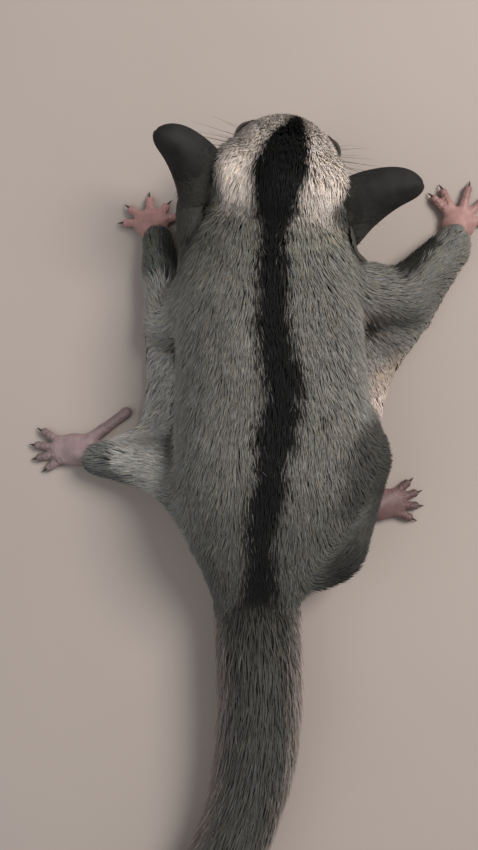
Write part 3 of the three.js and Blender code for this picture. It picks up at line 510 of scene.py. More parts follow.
# The dark line down the back: y, x of its middle, half width
STRIPE = array([
    [76, 1.8, 7.3], [71, 1.3, 7.4], [66.7, 0.6, 6.4], [62, -0.2, 5.6], [57.7, -0.8, 4.7],
    [53, -1.2, 3.8], [49, -1.4, 3.7], [44.7, -1.3, 3.6], [40, -1.6, 3.8], [36, -1.4, 4.4],
    [30, -1.3, 5.0], [23, -0.4, 4.9], [17, 1.2, 5.1], [11, 1.0, 4.9], [5, 0.3, 5.2],
    [-2, -0.9, 4.8], [-10, -2.5, 4.4], [-19, -3.4, 4.2], [-28, -4.5, 4.1], [-37, -4.7, 4.6],
    [-45, -4.9, 5.6], [-56, -5.0, 8.0],
])
# The same line on the head, in the head's frame: y, half width
BLAZE = array([[-14, 7.4], [-12, 7.2], [-9, 6.2], [-5, 4.7], [-1.5, 2.9],
               [3, 1.9], [8, 1.4], [13, 1.0], [17, 0.5], [18, 0.2]])
# Dark fur round and below the ears
EAR_MARKS = [
    ([-21.5, 69, 29], [-24, 58, 26], 6.5, 5.5),
    ([-24, 58, 26], [-24.5, 50, 23], 5.5, 2.5),
    ([19.5, 60, 29], [21.5, 52, 25], 5.0, 2.5),
]
BACK, LOIN, FLANK, NAPE = tone(97, 95, 90), tone(78, 77, 73), tone(112, 111, 106), tone(88, 87, 81)
PALE, CREAM = tone(186, 175, 166), tone(194, 183, 166)
BLACK, DARK, EAR_BASE = tone(14, 14, 14), tone(50, 48, 45), tone(56, 55, 51)
LIMB_GREY = {
    ARM_L: tone(72, 73, 68), ARM_R: tone(88, 87, 82),
    LEG_L: tone(138, 136, 131), LEG_R: tone(58, 57, 54),
}
WING = {WING_L: tone(140, 137, 132), WING_R: tone(160, 146, 139)}


def body_colour(p, soft, up, nape):
    """Grey from nape to loin, paler on the flanks and cream below."""
    x, y, z = p.T
    return paint(nape, (BACK, smooth(y, 52, 34)), (LOIN, smooth(y, -2, -28)),
                 (FLANK, 0.8 * smooth(np.abs(x + 1.2), 15, 25)),
                 (CREAM, smooth(-up + 0.03 * soft, 0.25, 0.6) * smooth(z, 12, 6)))


def head_colour(p, soft, nape):
    """Pale sides, cream cheeks, a browner bridge, and dark round the eyes and towards the ears."""
    q = in_head(p)
    m = folded(q)
    ring = smooth(gap_to_eye(q) + 0.3 * soft, 0.7, 2.0 - 0.9 * smooth(q[:, 2], 4, 7))
    to_ear = smooth(rod(m, [13.5, 3, 0.4], [18.2, -8, -0.8], 1.5, 2.2) + 0.5 * soft, -0.6, 1.6)
    to_nose = smooth(rod(m, [9.5, 9, 1.5], [4.6, 15.5, -1.6], 1.2, 0.6) + 0.3 * soft, -0.5, 1.2)
    return paint(nape, (PALE, smooth(p[:, 1] + soft + 6 * smooth(p[:, 0], -2, 2), 54.5, 69)),
                 (CREAM, smooth(-q[:, 2] + soft, 1.5, 6.5)),
                 (tone(112, 100, 92), 0.7 * (smooth(q[:, 1], 11, 16) * smooth(q[:, 2], -5, -2))),
                 (DARK, 0.9 * (1 - np.minimum(np.minimum(ring, to_ear), to_nose))))


def limb_layers(k, p, soft, along):
    """What lies over a limb's own grey, as (colour, share)."""
    x, y, z = p.T
    if k == ARM_L:
        return [(tone(132, 129, 124), smooth(-y + 1.2 * soft, -44, -40))]
    if k == ARM_R:  # a dark patch on the forearm
        flat = p * [1, 1, 0]
        patch = np.minimum(rod(flat, [28, 51, 0], [36, 46.5, 0], 2.8, 5.0),
                           rod(flat, [36, 46.5, 0], [45, 54, 0], 5.0, 3.0))
        return [(tone(100, 92, 87), smooth(along, 0.75, 0.35) * smooth(y, 40, 34)),
                (tone(26, 25, 23), 0.97 * (1 - smooth(patch + 0.7 * soft, -0.6, 1.4)))]
    if k == LEG_L:  # darker at the thigh and the ankle, and painted shade along the rear of the shank
        return [(tone(92, 91, 87), smooth(x + soft, -31, -27)),
                (tone(86, 87, 85), smooth(-x + soft, 45.5, 48)),
                # painted shade: a dark band along the shaded rear edge of the shank
                (tone(78, 79, 76), 0.9 * smooth(-y - 0.75 * (x + 46.5) + 0.8 * soft, 9.8, 12.4))]
    return [(tone(60, 59, 56), smooth(along, 0.7, 0.2)),
            (tone(128, 124, 119), smooth(-z, -9, -6) * smooth(x, 24, 29))]


def markings(p, f, normal):
    """The coat's colour at points of the body, in linear light."""
    w = shares(f, 2.0)[:, :, None]
    q = in_head(p)
    up = normal[:, 2]
    x, y, z = p.T
    soft = 0.9 * noise(p, 5, 3) + 0.6 * noise(p, 1.7, 4)

    nape = mix(NAPE, NAPE * 1.2, smooth(x, -6, 8))
    body = body_colour(p, soft, up, nape)
    colour = ((w[:, TORSO_FORM] + w[:, RUFF_FORM]) * body + w[:, HEAD_FORM] * head_colour(p, soft, nape)
              + w[:, THROAT_FORM] * mix(body, CREAM, smooth(-up, -0.1, 0.5)))
    for k, name in enumerate(LIMBS, ARM_L):
        colour += w[:, k] * paint(LIMB_GREY[k], (CREAM, smooth(-up, 0.2, 0.7)),
                                  *limb_layers(k, p, soft, limb_progress(p, name)))
    wing = paint(WING[WING_R], (tone(132, 120, 110), smooth(y + soft, 11, 17)),
                 (tone(112, 108, 103), smooth(y - x * 0.6 + soft, -2, 4)))
    for k, grey in ((WING_L, WING[WING_L]), (WING_R, wing)):
        colour += w[:, k] * mix(grey, CREAM, smooth(-up, 0.1, 0.5))
    colour = paint(colour, *[(EAR_BASE * 1.15, 0.85 * (1 - smooth(rod(p, *mark) + soft, -0.5, 2.5)))
                             for mark in EAR_MARKS])
    # the darker right hip
    hip = rod(p * [1, 1, 0], [26, -2, 0], [24, -17, 0], 8, 8)
    colour = mix(colour, tone(42, 41, 39), 0.85 * (1 - smooth(hip + soft, -2.5, 3)) * smooth(z, 8, 12))

    # the stripe, which leans a little to the right at the front of the head
    on_head = smooth(q[:, 1], -15, -10) * (f[:, HEAD_FORM] < f[:, TORSO_FORM] + 4)
    centre, half_body = curves(STRIPE, y)
    half_head, = curves(BLAZE, q[:, 1])
    lean = 1.1 * smooth(q[:, 1], -8, -1) * smooth(q[:, 1], 12, 4)
    away = (1 - on_head) * (np.abs(x - centre) - half_body) + on_head * (np.abs(q[:, 0] - lean) - half_head)
    above = np.maximum(smooth(up, 0.1, 0.35), smooth(z, 24, 27)) * (1 - on_head)
    above += on_head * smooth(q[:, 2], -1.5, 1.5)
    line = (1 - smooth(away + 0.55 * soft, -1.1, 1.3)) * above
    line *= np.maximum(smooth(f[:, ARM_L:].min(1), -3, 1), smooth(z, 28, 32))
    black = BLACK * (1 - 0.35 * on_head + 0.5 * smooth(y, -10, -30))[:, None]
    return mix(colour, mix(black, tone(43, 42, 39), smooth(y, -42, -50)), line)


# ---------------------------------------------------------------- materials

def add_node(tree, kind, values):
    made = tree.nodes.new("ShaderNode" + kind)
    for key, value in values.items():
        made.inputs[key].default_value = value
    return made


def mottled(tree, shader, colour, scale, low, high):
    """Base colour, a constant or else the mesh's own tint, varied by noise between two gains."""
    where = add_node(tree, "TexCoord", {})
    grain = add_node(tree, "TexNoise", {"Scale": scale, "Detail": 4.0})
    gain = add_node(tree, "MapRange", {"From Min": 0.3, "From Max": 0.7, "To Min": low, "To Max": high})
    times = add_node(tree, "VectorMath", {})
    times.operation = "SCALE"
    if colour:
        times.inputs[0].default_value = colour
    else:
        tint = add_node(tree, "Attribute", {})
        tint.attribute_name = "tint"
        tree.links.new(tint.outputs["Color"], times.inputs[0])
    tree.links.new(where.outputs["Object"], grain.inputs["Vector"])
    tree.links.new(grain.outputs["Fac"], gain.inputs["Value"])
    tree.links.new(gain.outputs["Result"], times.inputs["Scale"])
    tree.links.new(times.outputs["Vector"], shader.inputs["Base Color"])
    return where


def bumped(tree, shader, where, scale, strength, distance, cells=False):
    if cells:
        grain = add_node(tree, "TexVoronoi", {"Scale": scale})
    else:
        grain = add_node(tree, "TexNoise", {"Scale": scale, "Detail": 6.0})
    bump = add_node(tree, "Bump", {"Strength": strength, "Distance": distance})
    tree.links.new(where.outputs["Object"], grain.inputs["Vector"])
    tree.links.new(grain.outputs["Distance" if cells else "Fac"], bump.inputs["Height"])
    tree.links.new(bump.outputs["Normal"], shader.inputs["Normal"])


def new_material(name, *mottle, colour=None, bump=None, roughness, specular, sheen=0.0, coat_weight=0.0):
    material = bpy.data.materials.new(name)
    material.use_nodes = True
    tree = material.node_tree
    shader = tree.nodes["Principled BSDF"]
    shader.inputs["Roughness"].default_value = roughness
    shader.inputs["Specular IOR Level"].default_value = specular
    shader.inputs["Sheen Weight"].default_value = sheen
    shader.inputs["Coat Weight"].default_value = coat_weight
    where = mottled(tree, shader, colour, *mottle)
    if bump:
        bumped(tree, shader, where, **bump)
    return material


FUR = new_material("fur", 900, 0.88, 1.12, roughness=0.68, specular=0.14, sheen=0.03)
HIDE = new_material("hide_under_fur", 700, 0.8, 1.15, roughness=0.8, specular=0.1,
                    bump=dict(scale=1800, strength=0.5, distance=0.0004))
BARE = new_material("bare_skin", 600, 0.86, 1.1, roughness=0.5, specular=0.38,
                    bump=dict(scale=3200, strength=0.3, distance=0.00012, cells=True))
EAR_SKIN = new_material("ear_skin", 350, 0.85, 1.15, roughness=0.7, specular=0.2,
                        bump=dict(scale=900, strength=0.35, distance=0.0003))
CLAW = new_material("claw", 500, 0.8, 1.2, roughness=0.3, specular=0.5)
EYE_BLACK = new_material("eye", 250, 0.6, 1.4, colour=(0.004, 0.003, 0.0027), roughness=0.05,
                         specular=0.32, coat_weight=0.25)
TILE = new_material("floor", 9, 0.97, 1.03, colour=tuple(tone(170, 159, 152)), roughness=0.85, specular=0.2)

# ---------------------------------------------------------------- camera, light and floor

VIEW_CENTRE_X, VIEW_HEIGHT = -10.4, 265.0
camera_data = bpy.data.cameras.new("camera")
camera_data.sensor_width = 36
camera_data.lens = 36
camera_data.clip_start = 0.01
camera = bpy.data.objects.new("camera", camera_data)
camera.location = (VIEW_CENTRE_X * MM, 0, VIEW_HEIGHT * MM)
bpy.context.scene.collection.objects.link(camera)
bpy.context.scene.camera = camera
bpy.context.scene.view_settings.view_transform = "Standard"


def area_light(name, place, power, size, colour):
    data = bpy.data.lights.new(name, "AREA")
    data.shape = "DISK"
    data.size = size
    data.energy = power
    data.color = colour
    ob = bpy.data.objects.new(name, data)
    ob.location = place
    ob.rotation_euler = (Vector((0, 0, 0.01)) - Vector(place)).to_track_quat("-Z", "Y").to_euler()
    bpy.context.scene.collection.objects.link(ob)


area_light("key", (0.42, 0.30, 0.62), 6.3, 0.42, (1.0, 0.96, 0.92))
area_light("fill", (-0.6, -0.1, 0.7), 1.8, 0.8, (0.94, 0.97, 1.0))
world = bpy.data.worlds.new("world")
world.use_nodes = True
world.node_tree.nodes["Background"].inputs["Color"].default_value = (0.86, 0.87, 0.9, 1)
world.node_tree.nodes["Background"].inputs["Strength"].default_value = 0.35
bpy.context.scene.world = world

FLOOR_HALF = 900
floor_corners = array([[-1, -1, 0], [1, -1, 0], [1, 1, 0], [-1, 1, 0]]) * FLOOR_HALF
floor = make_mesh("floor", floor_corners, [np.array([[0, 1, 2, 3]])])
floor.data.materials.append(TILE)
floor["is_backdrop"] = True

# ---------------------------------------------------------------- tufts

LEAN = 0.6  # how far a tuft's shading leans to the way the skin under it faces
HEAD_LEAN = 0.82
TAPER = (0.85, 1.0)  # a tuft's width at its stations but the last, where it is a point
FUR_GAIN = 1.7  # makes up for the shade between tufts
PATCH = 0.003  # size of a tuft's patch on the map
STATION_LOW = 0.12  # lowest height of a tuft's stations over the floor
LOWEST = 0.05  # nothing of the coat is nearer to the floor


def tuft_mesh(path, normal, width, thick, taper, lean):
    """Closed three-sided tufts. path is (stations, tufts, 3)."""
    count, n = len(path), path.shape[1]
    ahead = unit(path[-1] - path[0])
    side = unit(np.cross(ahead, normal))
    up = np.cross(side, ahead)
    rings = []
    for k in range(count - 1):
        half = scaled(side, 0.5 * width * taper[k])
        high = scaled(up, thick * taper[k])
        rings += [path[k] - half - high * 0.35, path[k] + half - high * 0.35, path[k] + high * 0.65]
    points = np.stack(rings + [path[-1]], 1)
    turned_out = [unit(-side - 0.3 * up), unit(side - 0.3 * up), up] * (count - 1) + [up]
    normals = np.stack([unit(lean * normal + (1 - lean) * way) for way in turned_out], 1)
    per = points.shape[1]
    quads = [[b + i, b + 3 + i, b + 3 + (i + 1) % 3, b + (i + 1) % 3]
             for b in range(0, 3 * (count - 2), 3) for i in range(3)]
    b = 3 * (count - 2)
    tris = [[0, 1, 2]] + [[b + i, b + 3, b + (i + 1) % 3] for i in range(3)]
    start = (np.arange(n) * per)[:, None, None]
    faces = [(start + np.array(f)).reshape(-1, len(f[0])) for f in (quads, tris)]
    return points.reshape(-1, 3), faces, per, normals.reshape(-1, 3)


def bake_map(roots_uv, per):
    """Each tuft's vertices on a small patch at its root's place in the unwrap."""
    low, high = roots_uv.min(0), roots_uv.max(0)
    centre = 0.01 + 0.98 * (roots_uv - low) / np.maximum(high - low, 1e-9)
    rings = (per - 1) // 3
    local = array([[(k % 3) / 2 - 0.5, (k // 3) / rings - 0.5] for k in range(per - 1)] + [[0, 0.5]])
    return (centre[:, None] + PATCH * local[None]).reshape(-1, 2)


def tint_tufts(base, stations, seed, light=0.10, spread=0.11):
    """Colours along each tuft: darker root, own colour, and now and then a light or a dark tip."""
    local = np.random.default_rng(seed)
    n = len(base)
    bright = base.mean(1)
    dull = smooth(bright, 0.01, 0.05)
    calm = 1 - 0.6 * smooth(bright, 0.2, 0.4)
    gain = 1 + (np.exp(local.normal(0, spread, n)) - 1) * (0.35 + 0.65 * dull) * calm
    pick = local.random(n)
    tip = np.where(pick < light, local.uniform(1.2, 1.55, n), np.where(pick > 0.88, 0.7, 1.0)) - 1
    rooted = 0.74 + 0.16 * smooth(bright, 0.15, 0.4)
    warm = 1 + 0.05 * local.normal(0, 1, (n, 1)) * array([[1, 0.2, -1]])
    rings = []
    for t in np.linspace(0, 1, stations):
        level = FUR_GAIN * (rooted + (1 - rooted) * t) * gain * (1 + tip * dull * calm * t ** 1.5)
        rings += [base * warm * level[:, None]] * (1 if t == 1 else 3)
    return np.clip(np.stack(rings, 1).reshape(-1, 3), 0, 1)


def coat_piece(name, path, facing, width, places, base, seed, thick=0.6, taper=TAPER, lean=LEAN, **tips):
    """A piece of the coat; places are where its tufts' patches lie on the map."""
    path = np.stack(path)
    points, faces, per, normals = tuft_mesh(path, facing, width, width * thick, taper, lean)
    lift_to(points, LOWEST)
    piece("coat_" + name, points, faces, FUR, "grey_fur", uv=bake_map(places, per), normals=normals,
          colour=tint_tufts(base, len(path), seed, **tips))


# ---------------------------------------------------------------- skin

FLESH_NODES = [
    "torso", "neck", "head", "upper_arm_left", "forearm_left", "upper_arm_right", "forearm_right",
    "thigh_left", "shank_left", "thigh_right", "shank_right", "patagium_left", "patagium_right",
]


def spaced(stops):
    """Grid lines from (start, step) pairs up to the last start."""
    lines = [np.arange(start, end - step / 2, step) for (start, step), (end, _) in zip(stops, stops[1:])]
    return np.append(np.concatenate(lines), stops[-1][0])


def floored_skin(p):
    return np.maximum(skin_field(p), 0.35 - p[:, 2])


skin_points, skin_faces = nets(
    floored_skin, spaced([(-62.0, 1.3), (-20, 0.6), (22, 1.3), (62, 1)]),
    spaced([(-62.0, 1.2), (56, 0.6), (92, 1)]), spaced([(-1.0, 0.7), (44, 1)]))
skin_points = onto(floored_skin, skin_points, turns=2)
skin_colour = markings(skin_points, forms(skin_points), unit(gradient(skin_field, skin_points)))
skin_colour *= (0.75 + 0.7 * smooth(skin_colour.mean(1), 0.12, 0.4))[:, None]
piece("skin", skin_points, skin_faces, HIDE, "grey_fur", FLESH_NODES, colour=skin_colour)

# ---------------------------------------------------------------- hands and feet

CLAW_LENGTH = 2.3
CLAW_SUNK = 1.3  # how far back in the digit a claw begins
PAW_TONES = {
    "hand_left": tone(172, 130, 125), "hand_right": tone(160, 122, 117),
    "foot_left": tone(140, 120, 120), "foot_right": tone(112, 86, 84),
}


def paw_place(spec, bearing, r, z):
    a = math.radians(bearing)
    return [spec["centre"][0] + r * math.cos(a), spec["centre"][1] + r * math.sin(a), z]


def digit_field(p, spec, bearing, reach, stout):
    knuckle, last, tip = (paw_place(spec, bearing, r, z)
                          for r, z in ((0.52 * reach, 2.3), (0.80 * reach, 1.75), (reach - 0.7, 1.3)))
    toe = rod(p, paw_place(spec, bearing, 1.0, 2.3), knuckle, 1.5 * stout, 1.12 * stout)
    toe = blend(toe, rod(p, knuckle, last, 1.16 * stout, stout), 0.5)
    return blend(toe, rod(p, last, tip, stout, 1.2 * stout), 0.5)


def paw_field(spec, p):
    centre = array(spec["centre"])
    _, elbow, wrist = LIMBS[spec["limb"]][0]
    q = (p - centre) @ turn_z(math.radians(spec["heading"]))
    d = ellipsoid(q, [0, 0, -0.2], [spec["radii"][0] - 0.5, spec["radii"][1] - 0.6, 2.3])
    d = blend(d, rod(p, wrist - 5 * unit(wrist - elbow), wrist, 2.9, 2.8), 2)
    d = blend(d, rod(p, wrist, centre + [0, 0, 0.3], 2.8, 2.4), 2.5)
    for bearing, reach in spec["digits"] + spec["thumb"]:
        stout = 1.5 if [bearing, reach] in spec["thumb"] else 1.08
        d = blend(d, digit_field(p, spec, bearing, reach, stout), 1.3)
        for share in (0.6, 0.72, 0.84):
            crease = length(p - paw_place(spec, bearing, share * reach, 3.2)) - 1.0
            d = d + 0.12 * (1 - smooth(np.abs(crease), 0, 0.35))
    return np.maximum(d, 0.05 - p[:, 2])


for name, spec in PAWS.items():
    field = partial(paw_field, spec)
    low, high = (np.array(corner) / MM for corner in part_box(name))
    points, faces = nets(field, *[np.arange(low[i] - 5.5, high[i] + 5.5, 0.42) for i in range(2)],
                         np.arange(-0.6, 9.6, 0.4))
    points = onto(field, points, turns=2)
    normal = unit(gradient(field, points))
    out = length(points[:, :2] - spec["centre"][:2])
    colour = PAW_TONES[name] * (1 - 0.3 * smooth(out, 6, 12))[:, None]
    colour = mix(colour, tone(190, 150, 145), 0.5 * smooth(-normal[:, 2], 0, 0.6))
    colour *= (1 + 0.12 * noise(points, 2.2, 9))[:, None]
    piece(name + "_skin", points, faces, BARE, "pink_skin", [name],
          colour=np.clip(colour, 0, 1), normals=normal)
    claws = []
    for bearing, reach in spec["digits"]:
        stations = [paw_place(spec, bearing, reach - CLAW_SUNK + (CLAW_LENGTH + CLAW_SUNK) * s,
                              1.75 - 1.45 * s ** 2.2 + 0.35 * math.sin(math.pi * s))
                    + [0.52 * (1 - s) ** 0.7 + 0.05] for s in np.linspace(0, 1, 7)]
        claws.append(tube(stations, 8))
    points, faces = merge(claws)
    piece(name + "_claws", points, faces, CLAW, "ear_skin",
          colour=tone(58, 48, 42) * (1 + 0.3 * noise(points, 1.5, 2))[:, None])

# ---------------------------------------------------------------- ears

EAR_THICK, EAR_CUP, EAR_ROUND = 1.0, 4.2, 5
# share of the way from root to tip, reach of the front edge, reach of the rear edge
EAR_EDGES = array([[0, 8.6, -10.0], [0.3, 9.0, -6.2], [0.65, 8.2, -3.8], [1, 7.2, -4.0]])


def ear_frame(root, tip, front):
    """Root, way to the tip, span, way to the front edge and way out of the back of an ear."""
    axis = array(tip) - root
    span = np.linalg.norm(axis)
    axis /= span
    ahead = unit(array(front) - axis * (axis @ array(front)))
    back = np.cross(axis, ahead)
    return array(root), axis, span, ahead, back * np.sign(back[2])


EARS = {
    "ear_left": ear_frame(root=[-19.2, 65.6, 29], tip=[-32.4, 77.2, 40.5], front=[9.4, 13.2, 9]),
    "ear_right": ear_frame(root=[18.6, 58.4, 29], tip=[38.4, 63.4, 39.5], front=[-3.4, 17.4, 9]),
}


def ear_outline(t, least):
    """Taper of an ear, and its front and rear edges."""
    taper = np.sqrt(np.maximum(1 - t ** EAR_ROUND, least))
    front, rear = curves(EAR_EDGES, t)
    return taper, taper * front, taper * rear


def ear_point(ear, s, across):
    """Middle surface of an ear and its roll: s from root to tip, across 0 at the rear to 1 in front."""
    root, axis, span, ahead, back = ear
    taper, front, rear = ear_outline(np.clip(s, 0, 1), 0)
    roll = np.minimum((2 * across - 1) ** 2, 1.2)
    place = root + outer(s * span, axis) + outer(rear + (front - rear) * across, ahead)
    return place + outer(EAR_CUP * taper * (1 - roll) - EAR_CUP / 2, back), roll


def sheet_faces(rows, columns):
    """Faces of a thin shell: two sheets of points, the second after the first, and its four edges."""
    wide, top = columns + 1, (rows + 1) * (columns + 1)
    i, j = grid(np.arange(rows), np.arange(columns))
    a = i * wide + j
    faces = [quad(a, a + 1, a + wide + 1, a + wide), quad(a, a + wide, a + wide + 1, a + 1) + top]
    across, along = np.arange(columns), np.arange(rows) * wide
    last = rows * wide
    for near, far in ((across + 1, across), (last + across, last + across + 1), (along, along + wide),
                      (along + columns + wide, along + columns)):
        faces.append(quad(near, far, top + far, top + near))
    return [np.concatenate(faces)]


EAR_ROWS, EAR_COLUMNS = 44, 30
EAR_LOW, EAR_HIGH = -0.14, 0.997  # where the shell begins and ends, from root to tip
for name, ear in EARS.items():
    back = ear[-1]
    s, v = grid(EAR_LOW + (EAR_HIGH - EAR_LOW) * (1 - (1 - np.arange(EAR_ROWS + 1) / EAR_ROWS) ** 1.8),
                np.arange(EAR_COLUMNS + 1) / EAR_COLUMNS)
    middle, roll = ear_point(ear, s, v)
    edge = np.abs(2 * v - 1)
    ridge = 0.22 * np.sin(s * 34) * (1 - roll) * smooth(s, 0.12, 0.3) * smooth(s, 0.85, 0.6)
    half = EAR_THICK * (0.42 - 0.2 * roll) + 0.12 * smooth(np.maximum(edge, s ** 3), 0.86, 1.0)
    under = middle - outer(half - ridge * (v > 0.15), back)
    over = middle + outer(half + 0.15 * noise(middle, 2.5, 6), back)
    points = np.concatenate([under, over])
    behind = paint(tone(41, 40, 38),
                   (tone(92, 74, 70), 0.6 * smooth(0.5 - v, 0.36, 0.5) * smooth(s, 0.6, 0.2)),
                   (tone(31, 30, 29), 0.8 * smooth(np.maximum(s ** 2, edge), 0.55, 1.0) * (v > 0.35)))
    behind *= 0.86 if name == "ear_left" else 1.0
    within = mix(tone(72, 66, 63), tone(150, 118, 110), smooth(s, 0.55, 0.05))
    colour = np.concatenate([within, behind]) * (1 + 0.1 * noise(points, 3, 12))[:, None]
    piece(name + "_shell", points, facing_out(points, sheet_faces(EAR_ROWS, EAR_COLUMNS)), EAR_SKIN,
          "ear_skin", [name], colour=colour)

# ---------------------------------------------------------------- face

EYE_LOOKS = array([0.8, 0.46, 0.38])
CORNEA = 0.035  # how far the front of the eye bulges, as a share of its radius
EYE_RINGS, EYE_SIDES = 27, 44
LID_SIDES = 72
LID_BACK = math.radians(112)  # from the way the eye looks to the back of its lids
LID_HAIR = 1.1
LID_TUFTS = 900
# share of the way from the rim to the back, height over the globe
LID_PROFILE = [(0, 0.02), (-0.02, 0.2), (0.03, 0.42), (0.12, 0.48), (0.3, 0.36),
               (0.65, 0.28), (1, 0.1), (1, 0.02), (0.4, 0.02)]


def on_face(q, level=0.0):
    """Draw points of the head's frame on to the coat's surface or below it."""
    away = unit(np.stack([q[:, 0], 0.35 * (q[:, 1] - 8), q[:, 2] + 2], 1))
    for _ in range(12):
        q = q - (head_shape(q) - level)[:, None] * away
    return q


def smooth_path(points, count):
    """More points along a smooth line through a few."""
    table = np.column_stack([np.arange(len(points)), points])
    return np.stack(curves(table, np.linspace(0, len(points) - 1, count)), 1)


def round_axis(tilt, turn, axis, one, two):
    """Ways at a tilt from an axis, turned about it."""
    return (outer(np.cos(tilt), axis) + (np.sin(tilt) * np.cos(turn))[:, None] * one
            + (np.sin(tilt) * np.sin(turn))[:, None] * two)


for name, side in (("eye_left", -1), ("eye_right", 1)):
    centre = from_head(EYE * [side, 1, 1])
    looks = unit(EYE_LOOKS * [side, 1, 1]) @ HEAD_TURN.T
    one = unit(np.cross(looks, [0, 0, 1]))
    tilt, turn = grid(np.linspace(0, math.pi, EYE_RINGS + 2)[1:-1], all_round(EYE_SIDES))
    radius = EYE_RADIUS * (1 + CORNEA * np.maximum(np.cos(tilt), 0) ** 3)
    globe = centre + scaled(round_axis(tilt, turn, looks, one, np.cross(looks, one)), radius)
    front, rear = centre + looks * EYE_RADIUS * (1 + CORNEA), centre - looks * EYE_RADIUS
    points = np.concatenate([globe, [front, rear]])
    faces = facing_out(points, ring_faces(EYE_RINGS, EYE_SIDES), centre)
    piece(name + "_globe", points, faces, EYE_BLACK, "eye", [name])

    # lids: a collar on the globe, thick at its rim, drawn to a point in front and behind
    forward = unit(array([0.0, 1.0, -0.35]) @ HEAD_TURN.T)
    forward = unit(forward - looks * (looks @ forward))
    upward = np.cross(looks, forward)

    def on_lid(a, share, lift, more=0.0):
        opening = np.radians(57 + 13 * np.abs(np.cos(a)) ** 9)
        tilt = opening + share * (LID_BACK - opening) + more
        return centre + (EYE_RADIUS * 1.01 + lift) * round_axis(tilt, a, looks, forward, upward)

    a = all_round(LID_SIDES)
    per_ring = len(LID_PROFILE)
    points = np.stack([on_lid(a, share, lift) for share, lift in LID_PROFILE], 1).reshape(-1, 3)
    i, k = grid(np.arange(LID_SIDES), np.arange(per_ring))
    i2, k2 = (i + 1) % LID_SIDES, (k + 1) % per_ring
    faces = [quad(i * per_ring + k, i * per_ring + k2, i2 * per_ring + k2, i2 * per_ring + k)]
    back_share = smooth(np.tile([share for share, _ in LID_PROFILE], LID_SIDES), 0.1, 0.6)
    piece("lids" + name[3:], points, facing_out(points, faces, centre), EAR_SKIN, "ear_skin",
          colour=mix(tone(34, 30, 28), tone(52, 48, 44), back_share))
    # fine dark hair on the lids, lying back from the rim
    a = rng.uniform(0, 2 * math.pi, LID_TUFTS)
    from_rim = rng.random(LID_TUFTS) * 0.8 + 0.12
    path = [on_lid(a, from_rim, lift, step * LID_HAIR / EYE_RADIUS)
            for step, lift in ((0, 0.12), (0.5, 0.42), (1.0, 0.55))]
    width = rng.uniform(0.12, 0.2, LID_TUFTS)
    shade = DARK * rng.uniform(0.6, 1.1, (LID_TUFTS, 1))
    coat_piece(name, path, unit(path[0] - centre), width, np.column_stack([a, from_rim]), shade, 400)


def muzzle_field(p):
    """The bare nose pad with its nostrils, and the fold down to the lips."""
    q = in_head(p)
    m = folded(q)
    d = ellipsoid(q, [0, 21.7, -2.3], [2.45, 1.75, 1.9])
    d = blend(d, ellipsoid(m, [1.35, 22.0, -2.3], [1.2, 1.35, 1.35]), 0.7)
    d = blend(d, rod(q, [0, 20.6, -3.4], [0, 21.2, -5.8], 1.0, 0.75), 0.6)
    slit = rod(m, [1.9, 23.0, -2.1], [2.9, 21.6, -2.0], 0.26, 0.2)
    groove = rod(q, [0, 23.8, -3.0], [0, 21.9, -5.4], 0.22, 0.2)
    for cut in (rod(m, *NOSTRIL), slit, groove):
        d = np.maximum(d, -cut)
    return np.maximum(d, 0.1 - p[:, 2])


tip = from_head(NOSE)
points, faces = nets(muzzle_field, *[np.arange(tip[i] - 6.5, tip[i] + 6.5, 0.2) for i in range(3)])
points = onto(muzzle_field, points, turns=1)
# painted shade: the insides of the nostrils are coloured dark brown to stand in for the shade in them
nostril_shade = 1 - smooth(rod(folded(in_head(points)), *NOSTRIL), 0.0, 0.35)
colour = mix(tone(172, 128, 124), tone(48, 30, 29), 0.9 * nostril_shade)
colour *= (1 + 0.1 * noise(points, 0.8, 5))[:, None]
piece("nose_pad", points, faces, BARE, "pink_skin", ["nose"], colour=colour,
      normals=unit(gradient(muzzle_field, points)))

lips = []
for side in (-1, 1):
    path = from_head(on_face(smooth_path(MOUTH * [side, 1, 1], 26), -0.35))
    radius = 0.42 * np.sin(np.linspace(0.9, math.pi - 0.25, len(path)))
    lips.append(tube(np.column_stack([path + [0, 0, 0.12], radius]), 8))
points, faces = merge(lips)
lift_to(points, 0.1)
piece("lips", points, faces, BARE, "pink_skin", colour=tone(92, 70, 66))

whiskers = []
for side in (-1, 1):
    for k in range(24):
        row, column = k % 4, k // 4
        root = array([[side * (3.4 + 0.75 * column), 19.2 - 1.35 * column, -2.2 - 1.15 * row]])
        root = on_face(root, -0.4)[0]
        reach = 12 + 2.6 * column + rng.uniform(-2, 2)
        way = unit(array([side * (0.82 + 0.08 * rng.normal()), 0.35 - 0.16 * column, 0.25 - 0.14 * row]))
        bend = array([side * 0.1, -0.55, 0.12 + 0.1 * rng.normal()])
        t = np.linspace(0, 1, 7)[:, None]
        path = from_head(root + reach * (t * way + 0.35 * t ** 2 * bend))
        lift_to(path, 0.25)
        whiskers.append(tube(np.column_stack([path, 0.11 * (1 - 0.85 * t)]), 4, up=(0.1, 0.2, 1)))
points, faces = merge(whiskers)
piece("whiskers", points, faces, CLAW, "grey_fur", colour=tone(60, 56, 52))

# ---------------------------------------------------------------- coat

HAIR_FROM = array([0, 22.0, -3.0])  # the hair of the head lies away from here
FACE_DENSITY = 4.0  # tufts to the square mm that the face has on top of the head's
